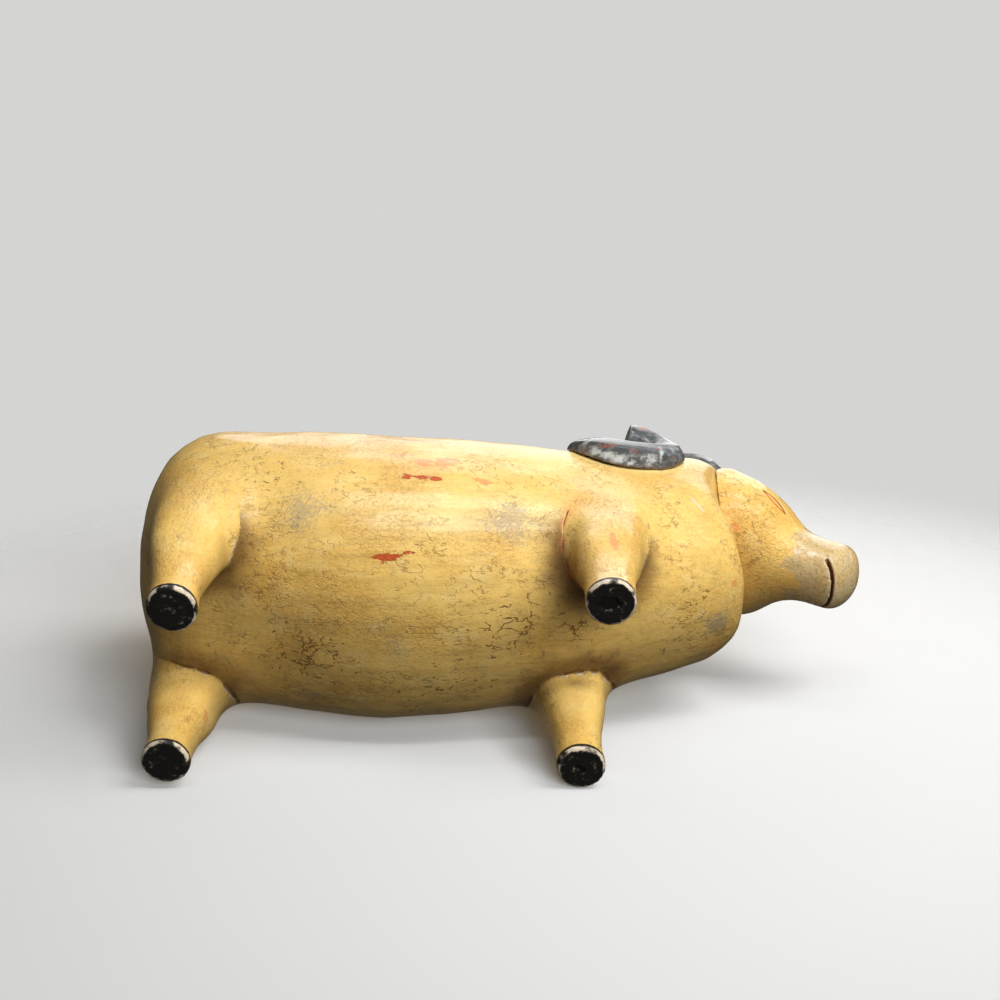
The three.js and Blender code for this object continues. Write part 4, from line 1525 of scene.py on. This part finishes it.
def lying_strips(stage):
    """Place and corners of the floor that the ram lies on, in strips that face the camera.

    A whole floor would stand beside the ram like a wall in other views.
    """
    way = Vector((0, math.cos(stage.roll), -math.sin(stage.roll)))
    along = Vector((0, math.sin(stage.roll), math.cos(stage.roll)))
    spread = np.vstack([points_of(node.data) for node in frame["nodes"].values()])
    place = way * float((spread @ np.array(way)).max()) + along * (stage.aim_z * math.cos(stage.roll))
    up = camera_turn(stage).col[1] * (STRIP_SHARE * LYING_PITCH)
    right = Vector((LYING_HALF, 0, 0))
    corners = []
    for index in range(round(2 * LYING_HALF / LYING_PITCH)):
        middle = along * (index * LYING_PITCH - LYING_HALF)
        corners += [middle + corner for corner in square(right, up)]
    return place, corners


def softbox(name, place, aim, power, wide, high, mirrored=True):
    """Soft square lamp that faces a point, and that glossy paint mirrors or not."""
    lamp = bpy.data.lights.new(name, "AREA")
    lamp.shape = "RECTANGLE"
    lamp.size, lamp.size_y, lamp.energy = wide, high, power
    holder = placed(name, lamp)
    holder.location = place
    holder.rotation_euler = (aim - place).to_track_quat("-Z", "Y").to_euler()
    holder.visible_glossy = mirrored


class RAM_OT_stage(bpy.types.Operator):
    """Sets up the camera, the soft lamps and the pale floor"""

    bl_idname = "ram.stage"
    bl_label = "Stage"

    def execute(self, context):
        scene = context.scene
        stage = scene.ram_stage
        eye = placed("camera", bpy.data.cameras.new("camera"))
        eye.data.lens, eye.data.sensor_width = stage.lens, FILM
        eye.matrix_world = Matrix.Translation(camera_place(stage)) @ camera_turn(stage).to_4x4()
        scene.camera = eye

        for name, (offset, *lamp) in LAMPS.items():
            softbox(name, RAM_MIDDLE + Vector(offset), RAM_MIDDLE, getattr(stage, name), *lamp)
        tree = tree_over(painted_pieces())
        for index, pixel in enumerate(STREAKS):
            point, normal = (Vector(v) for v in seen(stage, tree, *pixel))
            way = (point - eye.location).normalized().reflect(normal)
            place = point + way * STREAK_DISTANCE
            softbox(f"streak_{index}", place, point, stage.streak, STREAK_LENGTH, STREAK_WIDTH)

        pale, table = tone(scene.ram_paint, "floor"), tone(scene.ram_paint, "table")
        stands = square(Vector((STANDING_HALF, 0, 0)), Vector((0, STANDING_HALF, 0)))
        stage_surface("standing_floor", (0, 0, 0), stands, pale, STANDING_FADE)
        stage_surface("lying_floor", *lying_strips(stage), table, LYING_FADE, True)

        scene.world = bpy.data.worlds.new("studio")
        board = Board(scene.world)
        direct = board.add("ShaderNodeLightPath", output="Is Camera Ray")
        colour = (*pale, 1)
        even = board.add("ShaderNodeBackground", None, {"Color": colour, "Strength": stage.ambient})
        backdrop = board.add("ShaderNodeBackground", None, {"Color": colour, "Strength": 1.0})
        shader = board.add("ShaderNodeMixShader", None, {0: direct, 1: even, 2: backdrop})
        board.add("ShaderNodeOutputWorld", None, {"Surface": shader})
        scene.view_settings.view_transform = "Standard"
        return {"FINISHED"}


class RAM_PT_pieces(bpy.types.Panel):
    """Lists the pieces of the ram"""

    bl_label = "Wooden ram"
    bl_space_type = "VIEW_3D"
    bl_region_type = "UI"
    bl_category = "Ram"

    def draw(self, context):
        for operator in OPERATORS:
            self.layout.operator(operator.bl_idname)


GROUPS = {
    "ram_paint": RamPaint,
    "ram_carving": RamCarving,
    "ram_horn": RamHorn,
    "ram_stage": RamStage,
}
OPERATORS = (
    RAM_OT_body,
    RAM_OT_head,
    RAM_OT_horns,
    RAM_OT_tail,
    RAM_OT_wear_and_highlights,
    RAM_OT_pins,
    RAM_OT_stage,
)


def register():
    for name, group in GROUPS.items():
        bpy.utils.register_class(group)
        setattr(bpy.types.Scene, name, PointerProperty(type=group))
    for kind in (*OPERATORS, RAM_PT_pieces):
        bpy.utils.register_class(kind)


def unregister():
    for kind in (RAM_PT_pieces, *reversed(OPERATORS)):
        bpy.utils.unregister_class(kind)
    for name, group in reversed(GROUPS.items()):
        delattr(bpy.types.Scene, name)
        bpy.utils.unregister_class(group)


def main():
    register()
    bpy.ops.ram.body()
    bpy.ops.ram.head()
    bpy.ops.ram.horns()
    bpy.ops.ram.tail()
    bpy.ops.ram.wear()
    bpy.ops.ram.pins()
    bpy.ops.ram.stage()
    boxes = {"cad": CAD_BOX, "visual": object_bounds()}
    {name: [list(corner) for corner in box] for name, box in boxes.items()}


if __name__ == "__main__":
    main()
